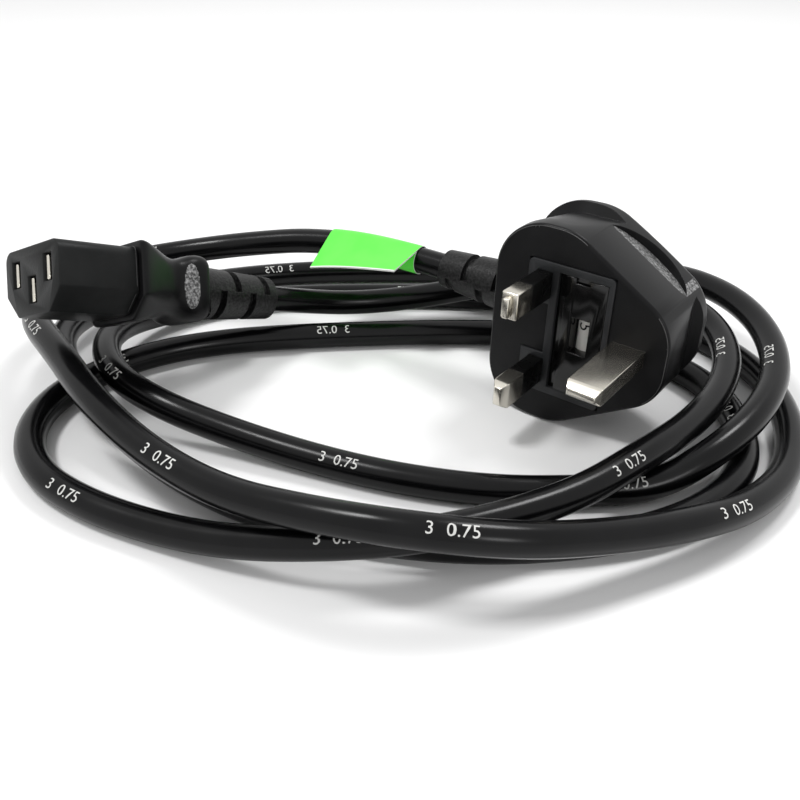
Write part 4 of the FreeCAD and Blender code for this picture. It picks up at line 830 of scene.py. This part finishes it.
# %% Connector
CONNECTOR_YAW, CONNECTOR_PITCH, CONNECTOR_ROLL = (math.radians(d) for d in (0.7, -23.9, -23.05))
CONNECTOR_TURN = (
    Matrix.Rotation(CONNECTOR_YAW, 3, "Z")
    @ Matrix.Rotation(CONNECTOR_PITCH, 3, "Y")
    @ Matrix.Rotation(CONNECTOR_ROLL, 3, "X")
)
CONNECTOR_LENGTH = 65.0 * MM
COLLAR_END = 41.0 * MM
NOSE_EDGE = 0.45 * MM
connector_tip = Vector(CORD_POINTS[-1]) * MM
connector_face = connector_tip - CONNECTOR_TURN @ Vector((0, CONNECTOR_LENGTH, 0))


def in_connector(point):
    """A point of the world as the connector's own width, depth and height."""
    return CONNECTOR_TURN.transposed() @ (point - connector_face)


def from_connector(across, depth, height):
    """A place in the world, from the connector's own measures in millimetres."""
    return connector_face + CONNECTOR_TURN @ (Vector((across, depth, height)) * MM)


nose = skin("connector_insert", "connector_nose", NOSE_EDGE)
relief = skin("connector_grip", "connector_relief")
for face in relief.data.polygons:
    face.select = in_connector(face.center).y < COLLAR_END
bpy.ops.object.mode_set(mode="EDIT")
bpy.ops.mesh.select_mode(type="FACE")
bpy.ops.mesh.delete(type="FACE")
bpy.ops.object.mode_set(mode="OBJECT")
# The relief's sand carries painted highlights as grey specks.
give_finish(relief, relief_pvc_painted_highlights)

# %% [markdown]
# ## Sections of the grip
# From its shoulder the grip flares in to a waist and swells again to a collar, and every section in
# between is a hexagon with rounded corners. A corner becomes a short curve: it starts and ends a little
# way along the two sides, and is pulled towards the corner between them.

# %% Sections of the grip
GRIP_SECTIONS = [
    # depth behind the face, half width, half height, cut lower corners, roundness of the corners
    (19.0, 12.9, 8.5, 4.9, 0.8), (19.1, 13.3, 8.9, 5.0, 0.8), (20.4, 13.3, 8.9, 5.0, 1.0),
    (22.0, 12.7, 8.75, 4.8, 1.6), (24.5, 11.6, 8.3, 4.4, 2.4), (27.5, 10.0, 7.5, 3.8, 2.9),
    (30.0, 8.9, 6.9, 3.3, 3.2), (32.0, 8.5, 6.7, 3.0, 3.3), (33.8, 8.8, 7.0, 2.8, 3.4),
    (35.4, 9.4, 7.7, 2.6, 3.6), (37.0, 9.7, 8.1, 2.5, 3.7), (39.4, 9.7, 8.1, 2.5, 3.7),
    (40.6, 9.2, 7.6, 2.4, 3.5), (41.0, 8.2, 6.6, 2.2, 3.0),
]
CORNER_STEPS = 5
SIDE_SHARE = 0.48


def rounded_section(half, top, cut, soft):
    """Points round a hexagon whose corners are bent into curves."""
    corners = [
        Vector(c) for c in (
            (-half, top), (half, top), (half, cut - top), (half - cut, -top), (cut - half, -top),
            (-half, cut - top),
        )
    ]
    points = []
    for before, corner, after in zip(corners[-1:] + corners, corners, corners[1:] + corners[:1]):
        reach = [min(soft, SIDE_SHARE * (other - corner).length) for other in (before, after)]
        start = corner + (before - corner).normalized() * reach[0]
        end = corner + (after - corner).normalized() * reach[1]
        for step in range(CORNER_STEPS + 1):
            share = step / CORNER_STEPS
            points.append(start.lerp(corner, share).lerp(corner.lerp(end, share), share))
    return points


sections = [rounded_section(*shape) for depth, *shape in GRIP_SECTIONS]
around = len(sections[0])
print(len(sections), "sections of", around, "points")

# %% [markdown]
# ## The connector's grip
# A flat grid is wrapped round those sections, its seam is merged, its ends are filled, and a subdivision
# surface makes it as smooth as the moulding.

# %% Grip
SEAM_WITHIN = 0.01 * MM
GRIP_SMOOTH = math.radians(40)

bpy.ops.object.select_all(action="DESELECT")
bpy.ops.mesh.primitive_grid_add(x_subdivisions=around, y_subdivisions=len(sections) - 1, size=1)
grip = bpy.context.object
grip.name = "connector_grip_moulding"
for vertex in grip.data.vertices:
    row = round((vertex.co.y + 0.5) * (len(sections) - 1))
    corner = sections[row][round((vertex.co.x + 0.5) * around) % around]
    vertex.co = from_connector(corner.x, GRIP_SECTIONS[row][0], corner.y)
bpy.ops.object.mode_set(mode="EDIT")
bpy.ops.mesh.select_all(action="SELECT")
bpy.ops.mesh.remove_doubles(threshold=SEAM_WITHIN)
bpy.ops.mesh.fill_holes(sides=0)
bpy.ops.mesh.normals_make_consistent(inside=False)
bpy.ops.object.mode_set(mode="OBJECT")
smoothing = grip.modifiers.new("smoothing", "SUBSURF")
smoothing.levels = 3
bpy.ops.object.modifier_apply(modifier=smoothing.name)
bpy.ops.object.shade_smooth_by_angle(angle=GRIP_SMOOTH)
give_finish(grip, grip_pvc)
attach(grip, "lead")
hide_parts("connector_grip")
print("grip:", len(grip.data.polygons), "faces")

# %% [markdown]
# ## Thumb pad and nose line
# A sandy lens on the collar's front slope gives the thumb a hold, and it is a patch of the grip with
# another finish, whose pale specks are painted highlights. Just in front of the grip's shoulder a fine
# line runs round the nose, where the mould of the soft grip closed on the hard insert, and its pale
# grey paints the highlight along that edge.

# %% Thumb pad and nose line
PAD_SIDE = 6.0
PAD_DEPTH = 35.3
PAD_HALF_DEPTH, PAD_HALF_HEIGHT = 1.9, 5.4
NOSE_SECTION = (12.0, 7.6, 5.0, 1.6)
NOSE_LINE_DEPTH = 18.4
NOSE_LINE_HALF = 0.07 * MM


def on_thumb_pad(middle, normal):
    """True inside the sandy lens, on the side towards the viewer."""
    place = in_connector(middle) / MM
    lens = ((place.y - PAD_DEPTH) / PAD_HALF_DEPTH) ** 2 + (place.z / PAD_HALF_HEIGHT) ** 2
    return place.x > PAD_SIDE and lens < 1


# The pad's sand carries painted highlights as pale specks.
finish_faces(grip, sandy_pvc_painted_highlights, on_thumb_pad)

nose_line_painted_highlight = bpy.data.objects.new("nose_line_painted_highlight", bpy.data.meshes.new("nose_line_painted_highlight"))
nose_ring = [
    from_connector(corner.x, NOSE_LINE_DEPTH, corner.y) for corner in rounded_section(*NOSE_SECTION)
]
round_again = [[i, (i + 1) % len(nose_ring)] for i in range(len(nose_ring))]
nose_line_painted_highlight.data.from_pydata(nose_ring, round_again, [])
bpy.context.scene.collection.objects.link(nose_line_painted_highlight)
# The nose line's pale grey is a painted highlight.
bead(nose_line_painted_highlight, NOSE_LINE_HALF)

# %% [markdown]
# ## Contacts
# Each slot has a folded leaf of plated brass along one side, and its rolled front edge shines out of the
# dark. A bevelled cube is enough for what can be seen.

# %% Contacts
CONTACTS = {"neutral": (-7.0, 2.0), "line": (7.0, 2.0), "earth": (0.0, -2.0)}
CONTACT_LOW = Vector((-1.6, 0.5, -2.8))
CONTACT_HIGH = Vector((-0.35, 16.5, 2.8))
CONTACT_EDGE = 0.4 * MM

for name, (side, height) in CONTACTS.items():
    bpy.ops.object.select_all(action="DESELECT")
    bpy.ops.mesh.primitive_cube_add(size=1)
    leaf = bpy.context.object
    leaf.name = name + "_leaf"
    for vertex in leaf.data.vertices:
        share = vertex.co + Vector((0.5, 0.5, 0.5))
        place = Vector((side, 0, height)) + CONTACT_LOW + share * (CONTACT_HIGH - CONTACT_LOW)
        vertex.co = from_connector(*place)
    round_edges(leaf, CONTACT_EDGE, 3, SHARP_EDGE)
    bpy.ops.object.shade_smooth_by_angle(angle=METAL_SMOOTH)
    give_finish(leaf, nickel)
    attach(leaf, "lead")
    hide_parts("contact_" + name)

# %% [markdown]

# %% [markdown]
# ## Floor and light
# The lead lies on a plain white table. A broad key lamp and another behind give the long soft highlights
# on the black sheath, a weak one lights the side, and a pale world fills the shadows. A camera or a
# mirror sees that world as white.

# %% Floor and lamps
TABLE_SIZE = 6.0
TABLE_ROUGHNESS = 0.9
LAMPS = [
    # name, place in metres, size in metres, power in watts
    ("key_lamp", (-0.35, -0.35, 0.95), 0.22, 5.0),
    ("back_lamp", (0.1, 0.5, 0.95), 0.26, 4.0),
    ("side_lamp", (0.8, -0.35, 0.45), 0.2, 1.2),
]

bpy.ops.object.select_all(action="DESELECT")
bpy.ops.mesh.primitive_plane_add(size=TABLE_SIZE)
floor = bpy.context.object
floor.name = "table_top"
table_white, _, table_shader = new_material("table_white_matt")
table_shader.inputs["Base Color"].default_value = linear("#f4f4f4")
table_shader.inputs["Roughness"].default_value = TABLE_ROUGHNESS
give_finish(floor, table_white)

for name, place, size, power in LAMPS:
    bpy.ops.object.light_add(type="AREA", location=place)
    lamp = bpy.context.object
    lamp.name = name
    lamp.data.size = size
    lamp.data.energy = power
    lamp.rotation_euler = Vector(place).to_track_quat("Z", "Y").to_euler()
print(len(LAMPS), "lamps")

# %% [markdown]
# ## The world
# The world gives the lead a plain level of light, at which a colour renders about as it is written. Rays
# from the camera, and those that a mirror or glass sends on, see it brighter, as pure white, so that the
# background is white without more light on the lead.

# %% World
SHADOW_FILL = 0.62

world = bpy.data.worlds.new("white_studio")
world.use_nodes = True
bpy.context.scene.world = world
sky = world.node_tree
sky.nodes.clear()
rays = add_node(sky, "ShaderNodeLightPath")
direct = add_node(
    sky, "ShaderNodeMath",
    {0: rays.outputs["Is Camera Ray"], 1: rays.outputs["Is Glossy Ray"]}, operation="MAXIMUM",
)
seen = add_node(
    sky, "ShaderNodeMath",
    {0: direct.outputs[0], 1: rays.outputs["Is Transmission Ray"]}, operation="MAXIMUM",
)
strength = add_node(
    sky, "ShaderNodeMapRange", {"Value": seen.outputs[0], "To Min": SHADOW_FILL, "To Max": 1.0}
)
backdrop = add_node(
    sky, "ShaderNodeBackground", {"Color": linear("#ffffff"), "Strength": strength.outputs[0]}
)
add_node(sky, "ShaderNodeOutputWorld", {"Surface": backdrop.outputs[0]})
bpy.context.scene.view_settings.view_transform = "Standard"
print("world light:", SHADOW_FILL)
